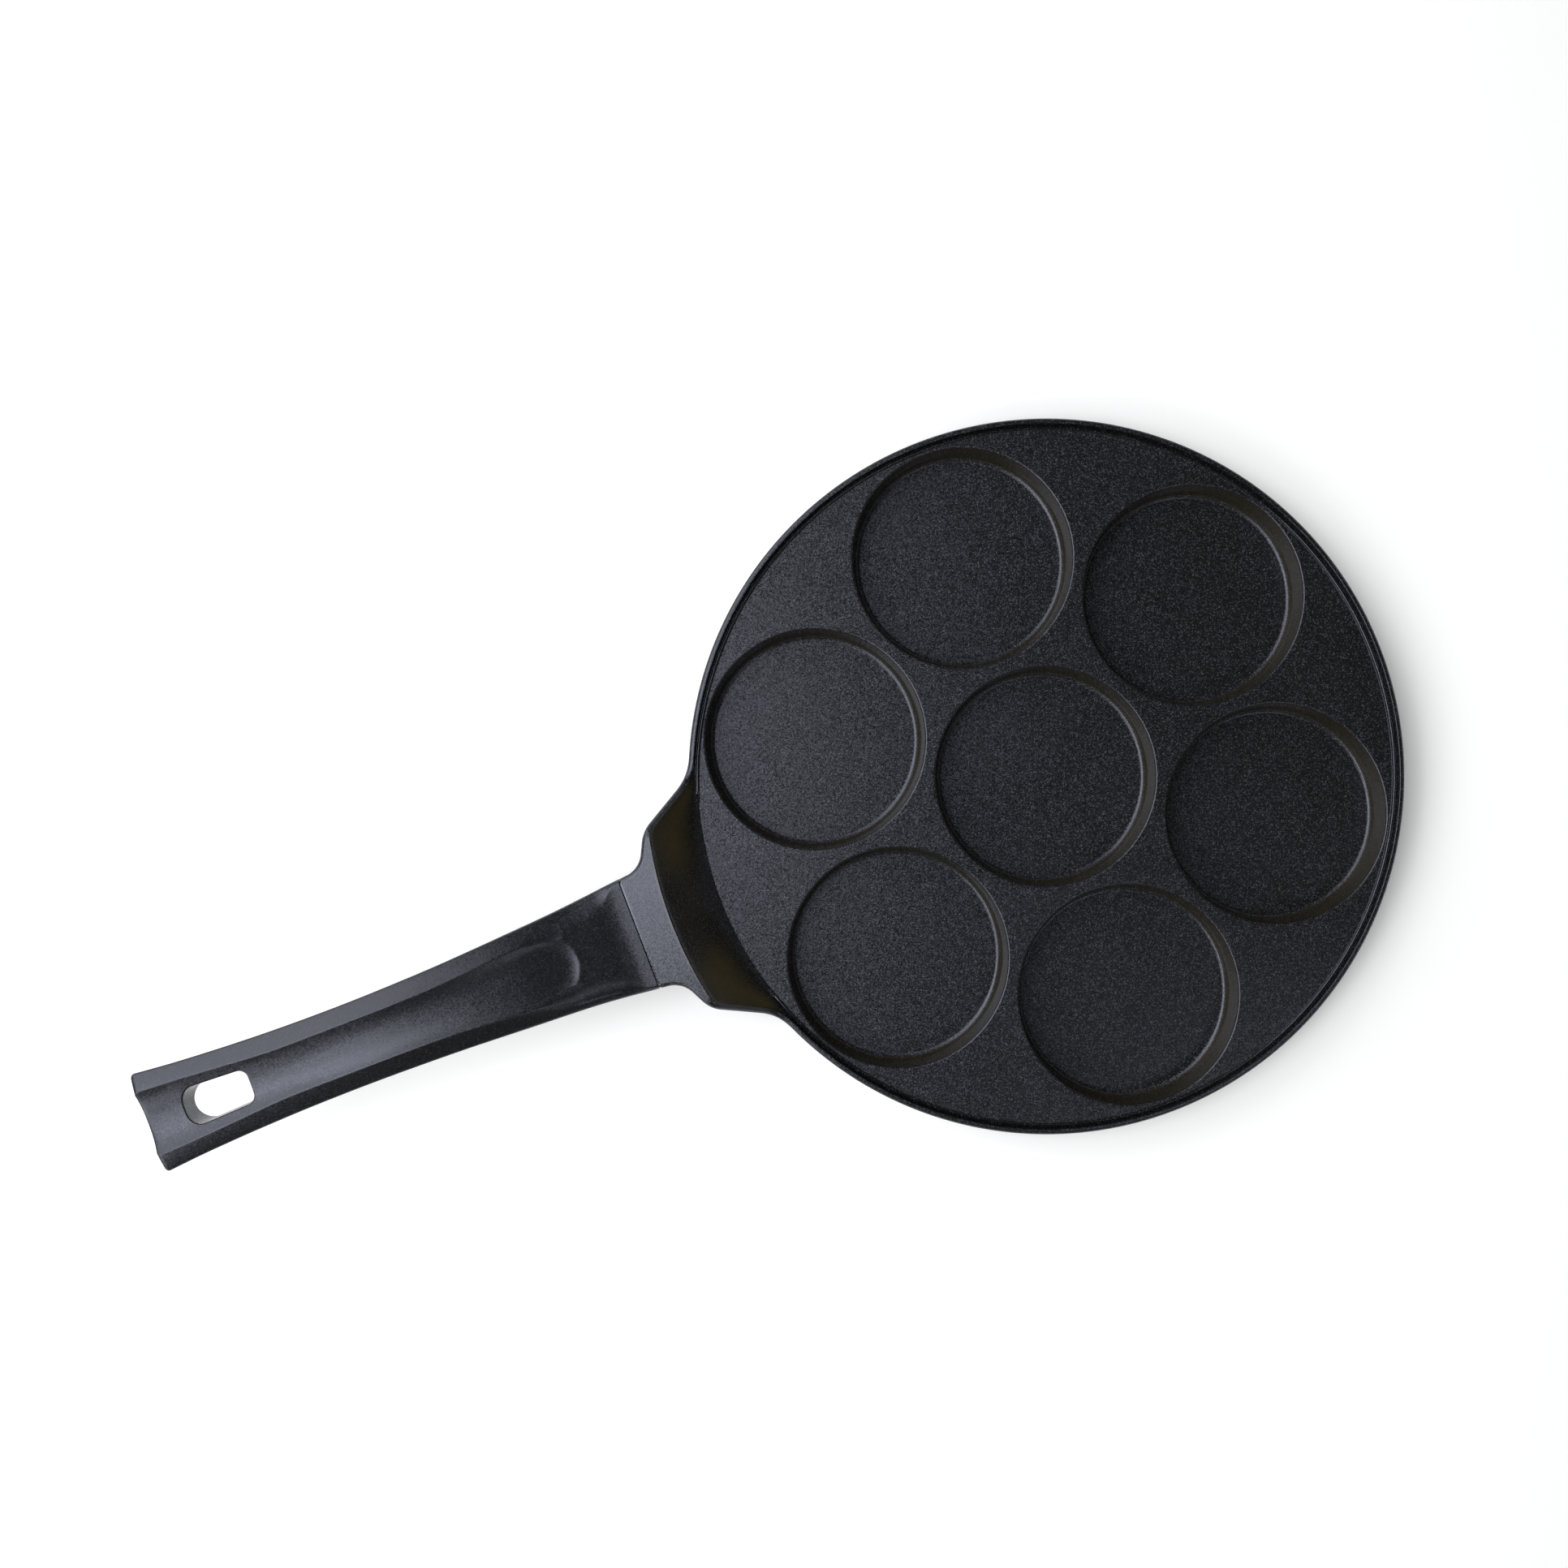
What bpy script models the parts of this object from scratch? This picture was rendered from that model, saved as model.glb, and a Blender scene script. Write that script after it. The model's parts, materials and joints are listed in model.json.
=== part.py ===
"""Seven-well blini pan: a cast pan body with its handle bracket, a moulded handle and its fastening.

+X runs out along the handle and +Z is up. The origin is the centre of the base, on the surface
that the pan stands on. All sizes are in metres.
"""

import math

import bmesh
import bpy
from mathutils import Vector

MM = 0.001
CLEARANCE = 0.3 * MM

# Pan disc: overall sizes
DISC_RADIUS = 130.0 * MM
FLOOR_THICKNESS = 5.0 * MM
WELL_DEPTH = 12.0 * MM

# Wells: one in the middle and a ring of six
WELL_RADIUS = 40.4 * MM
WELL_WALL_RUN = 1.5 * MM
WELL_FLOOR_FILLET = 1.9 * MM
WELL_LIP_FILLET = 0.6 * MM
WELL_TO_EDGE = 4.6 * MM
RING_WELLS = 6

# Rim: two low steps up from the plate to a rounded edge
STEP_RUN = 0.5 * MM
LOWER_STEP = 1.0 * MM
UPPER_STEP = 1.8 * MM
LEDGE_WIDTH = 0.8 * MM
UPPER_STEP_RUN = 0.3 * MM
RIM_WALL = 2.0 * MM
EDGE_ROUND = 1.5 * MM
WALL_DRAFT = 0.203
CHINE_HEIGHT = 6.0 * MM
BASE_INSET = 10.5 * MM

# Bracket that carries the handle: plan outline, measured out from the disc's edge
BRACKET_REACH = 26.5 * MM
NECK_HALF = 20.6 * MM
NECK_LENGTH = 8.1 * MM
NECK_FLARE = 0.8 * MM
SHOULDER_BACK = 14.0 * MM
SHOULDER_HALF = 33.3 * MM
NECK_FILLET = 9.2 * MM
SHOULDER_FILLET = 14.0 * MM
WING_ANGLE = math.radians(32.2)
WING_FILLET = 22.0 * MM

# Bracket: heights
CREST_RUN = 16.3 * MM
CREST_RISE = 21.0 * MM
CREST_BLEND = 1.2 * MM
TOP_FALL = 0.12
WING_THICKNESS = 9.4 * MM
LUG_ABOVE_CHINE = 2.4 * MM
LUG_SLOPE = 0.35
LUG_START = math.radians(8.5)
LUG_END = math.radians(14.0)
LUG_SQUARENESS = 5.0

# Tenon that the handle slides over, and its tapped hole
TENON_LENGTH = 22.0 * MM
TENON_WIDTH = 25.0 * MM
TENON_THICKNESS = 8.4 * MM
TENON_BELOW_TOP = 4.1 * MM
TENON_ROUND = 2.0 * MM
TENON_ROOT = 6.0 * MM

# Steel plate pressed into the base, and the studs of the casting that come through it
PLATE_RADIUS = 95.0 * MM
PLATE_THICKNESS = 1.0 * MM
STUD_RADIUS = 2.3 * MM
STUD_INSET = 0.15 * MM
STUD_RINGS = ((24.0 * MM, 6), (52.0 * MM, 14), (80.0 * MM, 22))

# Handle: overall sizes
HANDLE_LENGTH = 178.7 * MM
HANDLE_END_ROUND = 1.6 * MM
HANDLE_EDGE_ROUND = 0.6 * MM
SEAM_CHAMFER = 0.2 * MM

# Handle curves: share of the handle's length, then a size
HALF_WIDTH = (
    (0.0, NECK_HALF),
    (0.048, 19.75 * MM),
    (0.132, 18.2 * MM),
    (0.244, 16.82 * MM),
    (0.311, 16.05 * MM),
    (0.384, 15.32 * MM),
    (0.468, 14.8 * MM),
    (0.552, 14.5 * MM),
    (0.636, 14.49 * MM),
    (0.72, 14.76 * MM),
    (0.804, 15.35 * MM),
    (0.916, 16.56 * MM),
    (1.0, 17.95 * MM),
)
WIDEST_RISE = (
    (0.0, 0.0),
    (0.045, 0.1 * MM),
    (0.104, 1.7 * MM),
    (0.188, 6.3 * MM),
    (0.244, 9.0 * MM),
    (0.311, 11.4 * MM),
    (0.384, 13.5 * MM),
    (0.468, 15.2 * MM),
    (0.552, 16.3 * MM),
    (0.636, 16.9 * MM),
    (0.72, 17.15 * MM),
    (1.0, 17.4 * MM),
)
RIDGE_HALF = (
    (0.0, 19.6 * MM),
    (0.026, 19.2 * MM),
    (0.044, 14.9 * MM),
    (0.056, 13.8 * MM),
    (0.104, 13.1 * MM),
    (0.188, 11.6 * MM),
    (0.311, 9.95 * MM),
    (0.384, 8.95 * MM),
    (0.468, 8.5 * MM),
    (0.72, 8.4 * MM),
    (0.832, 9.7 * MM),
    (1.0, 11.5 * MM),
)
RIDGE_RISE = (
    (0.0, EDGE_ROUND),
    (0.031, 1.6 * MM),
    (0.042, 1.95 * MM),
    (0.104, 3.0 * MM),
    (0.188, 2.65 * MM),
    (0.311, 2.9 * MM),
    (0.552, 2.9 * MM),
    (0.72, 2.65 * MM),
    (1.0, 2.0 * MM),
)
BELLY_DEPTH = (
    (0.0, 19.0 * MM),
    (0.08, 19.2 * MM),
    (0.17, 18.4 * MM),
    (0.27, 16.6 * MM),
    (0.39, 15.4 * MM),
    (0.61, 13.6 * MM),
    (0.83, 11.4 * MM),
    (1.0, 10.6 * MM),
)
BELLY_SQUARENESS = (
    (0.0, LUG_SQUARENESS),
    (0.1, 4.4),
    (0.3, 2.7),
    (1.0, 2.6),
)
FACET_BULGE = 0.1 * MM

# Thumb scoop and the shallow trough that runs on from it
SCOOP_START = 22.6 * MM
SCOOP_RADIUS = 13.0 * MM
SCOOP_WALL = 5.0 * MM
TROUGH_SETTLE = 30.0 * MM
TROUGH_HOLLOW = 2.4
TROUGH_DEPTH = (
    (0.0, 0.7 * MM),
    (0.24, 0.7 * MM),
    (0.384, 0.95 * MM),
    (0.552, 1.2 * MM),
    (0.72, 1.65 * MM),
    (1.0, 2.35 * MM),
)

# Hanging hole
HOLE_END_MARGIN = 13.7 * MM
HOLE_LENGTH = 24.2 * MM
HOLE_NEAR_HALF = 5.9 * MM
HOLE_FAR_HALF = 6.9 * MM
HOLE_NEAR_CORNER = 3.0 * MM
HOLE_FAR_CORNER = 4.6 * MM
HOLE_LIP = 0.5 * MM

# Fastening: a screw from below, through the handle's floor into the tenon
SCREW_FROM_SEAM = 12.0 * MM
SCREW_RADIUS = 2.5 * MM
SCREW_HEAD_RADIUS = 4.6 * MM
SCREW_HEAD_HEIGHT = 2.2 * MM
SCREW_RECESS = 1.2 * MM
SCREW_SLOT_WIDTH = 1.1 * MM
SCREW_BELOW_TENON_TOP = 1.5 * MM
WASHER_RADIUS = 5.0 * MM
FLAT_WASHER_THICKNESS = 0.8 * MM
SPRING_WASHER_THICKNESS = 1.1 * MM
SPRING_WASHER_SPLIT = 0.8 * MM

# Smoothness
DISC_STEP = math.radians(3.75)
ARC_STEPS = 4
ROUND_SIDES = 32
WELL_SIDES = 48
STUD_SIDES = 8

# Sizes that follow from the ones above
PLATE_HEIGHT = FLOOR_THICKNESS + WELL_DEPTH
WELL_RING = DISC_RADIUS - WELL_TO_EDGE - WELL_RADIUS
RIM_HEIGHT = PLATE_HEIGHT + LOWER_STEP + UPPER_STEP
LEDGE_HEIGHT = PLATE_HEIGHT + LOWER_STEP
LEDGE_OUTER = DISC_RADIUS - RIM_WALL - UPPER_STEP_RUN
LEDGE_INNER = LEDGE_OUTER - LEDGE_WIDTH
PLATE_EDGE = LEDGE_INNER - STEP_RUN
CREST_RADIUS = LEDGE_OUTER + CREST_RUN
CREST_HEIGHT = PLATE_HEIGHT + CREST_RISE
CONE_SLOPE = (CREST_HEIGHT - LEDGE_HEIGHT) / CREST_RUN
RIM_EDGE_HEIGHT = RIM_HEIGHT - EDGE_ROUND
LUG_FOOT_HEIGHT = CHINE_HEIGHT + LUG_ABOVE_CHINE
SEAM_X = DISC_RADIUS + BRACKET_REACH
SEAM_TOP = CREST_HEIGHT - TOP_FALL * (SEAM_X - CREST_RADIUS)
SEAM_WIDEST = SEAM_TOP - EDGE_ROUND
HANDLE_START = SEAM_X + CLEARANCE
HANDLE_END = SEAM_X + HANDLE_LENGTH
TENON_TOP = SEAM_TOP - TENON_BELOW_TOP
TENON_BOTTOM = TENON_TOP - TENON_THICKNESS
SCREW_X = SEAM_X + SCREW_FROM_SEAM
HANDLE_BOTTOM = SEAM_WIDEST - BELLY_DEPTH[0][1]
HEAD_BOTTOM = HANDLE_BOTTOM + CLEARANCE
HEAD_TOP = HEAD_BOTTOM + SCREW_HEAD_HEIGHT
SPRING_WASHER_BOTTOM = HEAD_TOP + CLEARANCE
FLAT_WASHER_BOTTOM = SPRING_WASHER_BOTTOM + SPRING_WASHER_THICKNESS + CLEARANCE
SCREW_SEAT = FLAT_WASHER_BOTTOM + FLAT_WASHER_THICKNESS + CLEARANCE
RECESS_DEPTH = PLATE_THICKNESS + CLEARANCE


def clear_scene():
    """Remove whatever the scene holds."""
    for item in list(bpy.data.objects):
        bpy.data.objects.remove(item, do_unlink=True)


def blend(start, end, share):
    """Straight mix of two values."""
    return start + (end - start) * share


def ease(start, end, value):
    """0 before start, 1 after end, and a smooth S between."""
    share = min(max((value - start) / (end - start), 0.0), 1.0)
    return share * share * (3.0 - 2.0 * share)


def soft_max(first, second, width):
    """The larger of two values, rounded where they cross."""
    overlap = max(width - abs(first - second), 0.0)
    return max(first, second) + overlap * overlap / (4.0 * width)


def soft_min(first, second, width):
    """The smaller of two values, rounded where they cross."""
    return -soft_max(-first, -second, width)


def curve_value(points, place):
    """Smooth value at a place on a curve given by (place, value) points."""
    index = 0
    while index < len(points) - 2 and place > points[index + 1][0]:
        index += 1
    (x0, y0), (x1, y1) = points[index], points[index + 1]
    span = x1 - x0

    def slope(at):
        low = points[max(at - 1, 0)]
        high = points[min(at + 1, len(points) - 1)]
        return (high[1] - low[1]) / (high[0] - low[0])

    share = min(max((place - x0) / span, 0.0), 1.0)
    square, cube = share**2, share**3
    return (
        (2 * cube - 3 * square + 1) * y0
        + (cube - 2 * square + share) * span * slope(index)
        + (3 * square - 2 * cube) * y1
        + (cube - square) * span * slope(index + 1)
    )


def fillet(before, corner, after, radius, steps):
    """Points of the arc that rounds a corner between two straight lines."""
    to_before = (before - corner).normalized()
    to_after = (after - corner).normalized()
    half = to_before.angle(to_after) / 2.0
    middle = (to_before + to_after).normalized()
    centre = corner + middle * (radius / math.sin(half))
    first = corner + to_before * (radius / math.tan(half)) - centre
    last = corner + to_after * (radius / math.tan(half)) - centre
    points = []
    for step in range(steps + 1):
        points.append(centre + first.slerp(last, step / steps) * radius)
    return points


def bracket_outline():
    """Plan outline of the bracket on the +Y side, from the seam's corner to the disc's circle."""
    corner = Vector((SEAM_X, NECK_HALF))
    neck = Vector((SEAM_X - NECK_LENGTH, NECK_HALF + NECK_FLARE))
    shoulder = Vector((SEAM_X - SHOULDER_BACK, SHOULDER_HALF))
    along = Vector((-math.cos(WING_ANGLE), math.sin(WING_ANGLE)))
    outward = Vector((math.sin(WING_ANGLE), math.cos(WING_ANGLE)))
    line = outward.dot(shoulder)
    facing = math.atan2(outward.y, outward.x)
    turn = facing - math.acos((line + WING_FILLET) / (DISC_RADIUS + WING_FILLET))
    centre = Vector((math.cos(turn), math.sin(turn))) * (DISC_RADIUS + WING_FILLET)
    touch_disc = -centre.normalized()
    points = [corner]
    points += fillet(corner, neck, shoulder, NECK_FILLET, ARC_STEPS + 1)
    points += fillet(neck, shoulder, shoulder + along, SHOULDER_FILLET, ARC_STEPS)
    points.append((points[-1] + centre - outward * WING_FILLET) / 2.0)
    for step in range(ARC_STEPS + 2):
        arm = (-outward).slerp(touch_disc, step / (ARC_STEPS + 1))
        points.append(centre + arm * WING_FILLET)
    return points


class PanPlan:
    """The pan seen from above: where its edge is, and how far inside the edge a point lies."""

    def __init__(self):
        self.side = bracket_outline()
        self.wing_end = math.atan2(self.side[-1].y, self.side[-1].x)
        self.corner = math.atan2(NECK_HALF, SEAM_X)

    def edge_radius(self, angle):
        """Distance from the pan's centre to its edge in one direction."""
        turn = abs(angle)
        if turn >= self.wing_end:
            return DISC_RADIUS
        if turn <= self.corner:
            return SEAM_X / math.cos(turn)
        ray = Vector((math.cos(turn), math.sin(turn)))
        for start, end in zip(self.side, self.side[1:]):
            low = ray.cross(start)
            high = ray.cross(end)
            if low <= 0.0 <= high or (abs(low) < 1e-12):
                return ray.dot(start.lerp(end, low / (low - high)))
        return DISC_RADIUS

    def inset(self, radius, angle):
        """Distance from a point to the pan's side edge; the seam's flat face doesn't count."""
        turn = abs(angle)
        nearest = DISC_RADIUS - radius if turn > self.wing_end else math.inf
        point = Vector((math.cos(turn), math.sin(turn))) * radius
        for start, end in zip(self.side, self.side[1:]):
            run = end - start
            share = min(max((point - start).dot(run) / run.length_squared, 0.0), 1.0)
            nearest = min(nearest, (point - start - run * share).length)
        return nearest

    def radius_at_inset(self, inset, angle):
        """Radius at which a ray from the centre comes within an inset of the side edge."""
        high = self.edge_radius(angle)
        if abs(angle) >= self.wing_end:
            return high - inset
        if self.inset(high, angle) >= inset:
            return high
        low = LEDGE_OUTER
        for _ in range(26):
            middle = (low + high) / 2.0
            if self.inset(middle, angle) > inset:
                low = middle
            else:
                high = middle
        return (low + high) / 2.0


def cone_height(radius):
    """Height of the bracket's sloped inner face, a cone about the pan's centre."""
    return LEDGE_HEIGHT + (radius - LEDGE_OUTER) * CONE_SLOPE


def body_column(plan, angle):
    """Section of the pan body in one direction: (radius, height) from the plate to the base."""
    edge = plan.edge_radius(angle)
    wall_top = plan.radius_at_inset(RIM_WALL, angle)
    crest = soft_min(CREST_RADIUS, wall_top, CREST_BLEND)
    if abs(angle) >= plan.wing_end:
        crest = wall_top
    crest_height = soft_max(RIM_HEIGHT, cone_height(crest), CREST_BLEND)
    if abs(angle) >= plan.wing_end:
        crest_height = RIM_HEIGHT
    fall = TOP_FALL * (crest_height - RIM_HEIGHT) / (CREST_HEIGHT - RIM_HEIGHT)

    def level(radius):
        return crest_height - fall * (radius - crest)

    def rounded(inset):
        depth = max(EDGE_ROUND - inset, 0.0)
        return EDGE_ROUND - math.sqrt(EDGE_ROUND**2 - depth**2)

    column = [
        (PLATE_EDGE, PLATE_HEIGHT),
        (LEDGE_INNER, LEDGE_HEIGHT),
        (LEDGE_OUTER, LEDGE_HEIGHT),
        (crest, crest_height),
    ]
    for share in (1.0, 0.55, 0.22, 0.05, 0.0):
        radius = plan.radius_at_inset(EDGE_ROUND * share, angle)
        inset = plan.inset(radius, angle)
        column.append((radius, level(radius) - rounded(inset)))

    edge_height = level(edge) - EDGE_ROUND
    wing = ease(LUG_START, LUG_END, abs(angle))
    foot = blend(LUG_FOOT_HEIGHT, cone_height(DISC_RADIUS) - WING_THICKNESS, wing)
    slope = blend(LUG_SLOPE, CONE_SLOPE, wing)
    meet = DISC_RADIUS + (RIM_EDGE_HEIGHT - foot) / (slope - 1.0 / WALL_DRAFT)

    def underside(radius):
        inset = plan.inset(radius, angle)
        under = foot + slope * (radius - DISC_RADIUS)
        share = min(inset / NECK_HALF, 1.0)
        square = LUG_SQUARENESS
        lug_depth = (1.0 - (1.0 - share) ** square) ** (1.0 / square)
        lug = edge_height - (edge_height - under) * lug_depth
        skin = max(edge_height - inset / WALL_DRAFT, under)
        return blend(lug, skin, wing)

    last = edge
    for inset in (0.0, 0.05, 0.3, 1.0, 2.5, 5.0, 10.0):
        last = max(plan.radius_at_inset(inset * MM, angle), meet)
        if inset == 0.0 and abs(angle) > plan.corner:
            continue
        column.append((last, underside(last)))
    column.append(((last + meet) / 2.0, underside((last + meet) / 2.0)))
    meet_height = RIM_EDGE_HEIGHT + (meet - DISC_RADIUS) / WALL_DRAFT
    column.append((meet, meet_height))
    if abs(angle) > plan.corner:
        column.insert(9, column[8])

    chine = DISC_RADIUS - WALL_DRAFT * (RIM_EDGE_HEIGHT - CHINE_HEIGHT)
    base = DISC_RADIUS - BASE_INSET
    for step in range(ARC_STEPS):
        turn = math.radians(90.0) * step / (ARC_STEPS - 1)
        column.append(
            (
                base + (chine - base) * math.cos(turn),
                CHINE_HEIGHT * (1.0 - math.sin(turn)),
            )
        )
    recess = PLATE_RADIUS + CLEARANCE
    column.append((recess, 0.0))
    column.append((recess, RECESS_DEPTH))
    ring_radii = [0.0] + [radius for radius, _ in STUD_RINGS]
    for inner, outer in zip(ring_radii[-2::-1], ring_radii[:0:-1]):
        column.append(((inner + outer) / 2.0, RECESS_DEPTH))
    return column


def body_angles(plan):
    """Directions of the body's sections: close together on the bracket, even on the disc."""
    seam = [0.0, 6.0 * MM, 12.0 * MM]
    seam += [NECK_HALF - inset * MM for inset in (5.0, 2.5, 1.5, 0.82, 0.33, 0.08)]
    half = [math.atan2(y, SEAM_X) for y in seam]
    half += [math.atan2(point.y, point.x) for point in plan.side]
    rest = math.pi - half[-1]
    count = round(rest / DISC_STEP)
    half += [half[-1] + rest * (step + 1) / count for step in range(count)]
    other = [-angle for angle in half[1:-1]]
    return half + other[::-1]


def new_object(name, mesh, material=None):
    """Object with a mesh in the scene, shaded smooth with sharp creases kept."""
    item = bpy.data.objects.new(name, mesh)
    bpy.context.scene.collection.objects.link(item)
    if material:
        mesh.materials.append(material)
    mesh.shade_smooth()
    mesh.set_sharp_from_angle(angle=math.radians(30.0))
    return item


def finish_mesh(name, form):
    """Mesh from a bmesh whose faces are turned to point outwards."""
    bmesh.ops.remove_doubles(form, verts=form.verts, dist=0.002 * MM)
    bmesh.ops.dissolve_degenerate(form, edges=form.edges, dist=0.001 * MM)
    bmesh.ops.recalc_face_normals(form, faces=form.faces)
    mesh = bpy.data.meshes.new(name)
    form.to_mesh(mesh)
    form.free()
    return mesh


def skin_rows(form, rows, loop_rows):
    """Quads between neighbouring rows of vertices; closed rows join their last point to the first."""
    for low, high in zip(rows, rows[1:]):
        count = len(low)
        for index in range(count if loop_rows else count - 1):
            after = (index + 1) % count
            form.faces.new((low[index], low[after], high[after], high[index]))


def turned_mesh(name, profile, sides, centres=((0.0, 0.0),)):
    """Closed turned solid from a (radius, height) profile, repeated at each centre."""
    form = bmesh.new()
    for centre_x, centre_y in centres:
        rings = []
        for radius, height in profile:
            ring = []
            for side in range(sides):
                turn = 2.0 * math.pi * side / sides
                place = (
                    centre_x + radius * math.cos(turn),
                    centre_y + radius * math.sin(turn),
                    height,
                )
                ring.append(form.verts.new(place))
            rings.append(ring)
        skin_rows(form, rings, True)
        form.faces.new(rings[0])
        form.faces.new(rings[-1])
    return finish_mesh(name, form)


def cut(target, mesh, operation="DIFFERENCE"):
    """Boolean on a target with a mesh as the hidden cutter or the added form."""
    tool = new_object(mesh.name, mesh)
    tool.hide_render = True
    tool.display_type = "WIRE"
    modifier = target.modifiers.new(mesh.name, "BOOLEAN")
    modifier.operation = operation
    modifier.object = tool
    modifier.solver = "EXACT"
    return tool


def material(name, colour, roughness, metallic):
    """Plain Principled material."""
    made = bpy.data.materials.new(name)
    made.use_nodes = True
    shader = made.node_tree.nodes["Principled BSDF"]
    shader.inputs["Base Color"].default_value = (*colour, 1.0)
    shader.inputs["Roughness"].default_value = roughness
    shader.inputs["Metallic"].default_value = metallic
    return made


def well_centres():
    """The middle well and the ring of six, with the handle between two of the ring."""
    centres = [(0.0, 0.0)]
    for index in range(RING_WELLS):
        turn = 2.0 * math.pi * (index + 0.5) / RING_WELLS
        centres.append((WELL_RING * math.cos(turn), WELL_RING * math.sin(turn)))
    return centres


def well_profile():
    """Cutter for a well, top to bottom: a rounded lip, a drafted wall and a filleted flat floor."""
    lip = WELL_LIP_FILLET
    floor_height = PLATE_HEIGHT - WELL_DEPTH
    wall_foot = WELL_RADIUS - WELL_WALL_RUN
    return [
        (WELL_RADIUS + 0.3 * lip, PLATE_HEIGHT + 0.3 * lip),
        (WELL_RADIUS - 0.3 * lip, PLATE_HEIGHT - 0.3 * lip),
        (WELL_RADIUS - 0.6 * lip, PLATE_HEIGHT - lip),
        (wall_foot, floor_height + WELL_FLOOR_FILLET),
        (wall_foot - WELL_FLOOR_FILLET * 0.29, floor_height + WELL_FLOOR_FILLET * 0.29),
        (wall_foot - WELL_FLOOR_FILLET, floor_height),
    ]


def stud_centres():
    """Places of the studs that lock the steel plate to the casting."""
    centres = []
    for ring_radius, count in STUD_RINGS:
        for index in range(count):
            turn = 2.0 * math.pi * (index + 0.5) / count
            centres.append((ring_radius * math.cos(turn), ring_radius * math.sin(turn)))
    return centres


def rounded_bar(name, start, end, width, bottom, top, corner):
    """Bar along X with rounded long edges."""
    form = bmesh.new()
    half = width / 2.0
    ring = []
    for side_y, side_z, first in ((1, 1, 0), (-1, 1, 90), (-1, -1, 180), (1, -1, 270)):
        centre_y = side_y * (half - corner)
        centre_z = (top - corner) if side_z > 0 else (bottom + corner)
        for step in range(ARC_STEPS):
            turn = math.radians(first + 90.0 * step / (ARC_STEPS - 1))
            ring.append((centre_y + corner * math.cos(turn), centre_z + corner * math.sin(turn)))
    rows = [[form.verts.new((x, y, z)) for y, z in ring] for x in (start, end)]
    skin_rows(form, rows, True)
    form.faces.new(rows[0])
    form.faces.new(rows[1])
    return finish_mesh(name, form)


def make_pan_body(finish):
    """Cast disc with its rim, bracket and tenon; wells, plate recess and tapped hole are cut in."""
    plan = PanPlan()
    angles = body_angles(plan)
    form = bmesh.new()
    columns = []
    for angle in angles:
        column = []
        for radius, height in body_column(plan, angle):
            place = (radius * math.cos(angle), radius * math.sin(angle), height)
            column.append(form.verts.new(place))
        columns.append(column)
    skin_rows(form, columns + columns[:1], False)
    form.faces.new([column[0] for column in columns])
    form.faces.new([column[-1] for column in columns])
    body = new_object("pan_body", finish_mesh("pan_body", form), finish)

    tenon = rounded_bar(
        "tenon_form",
        SEAM_X - TENON_ROOT,
        SEAM_X + TENON_LENGTH,
        TENON_WIDTH,
        TENON_BOTTOM,
        TENON_TOP,
        TENON_ROUND,
    )
    cut(body, tenon, "UNION")
    stud_profile = [(STUD_RADIUS, RECESS_DEPTH + PLATE_THICKNESS), (STUD_RADIUS, STUD_INSET)]
    cut(body, turned_mesh("stud_forms", stud_profile, STUD_SIDES, stud_centres()), "UNION")
    cut(body, turned_mesh("well_cutters", well_profile(), WELL_SIDES, well_centres()))
    tapping = SCREW_RADIUS + CLEARANCE
    hole = [(tapping, TENON_TOP + CLEARANCE), (tapping, TENON_BOTTOM - CLEARANCE)]
    cut(body, turned_mesh("tapping_cutter", hole, ROUND_SIDES // 2, ((SCREW_X, 0.0),)))
    return body


def make_induction_plate(finish):
    """Perforated steel disc, flush with the base."""
    profile = [(PLATE_RADIUS, PLATE_THICKNESS), (PLATE_RADIUS, 0.0)]
    plate = new_object("induction_plate", turned_mesh("induction_plate", profile, 96), finish)
    hole_radius = STUD_RADIUS + CLEARANCE
    holes = [(hole_radius, 2.0 * PLATE_THICKNESS), (hole_radius, -PLATE_THICKNESS)]
    cut(plate, turned_mesh("plate_hole_cutters", holes, STUD_SIDES, stud_centres()))
    return plate


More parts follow.
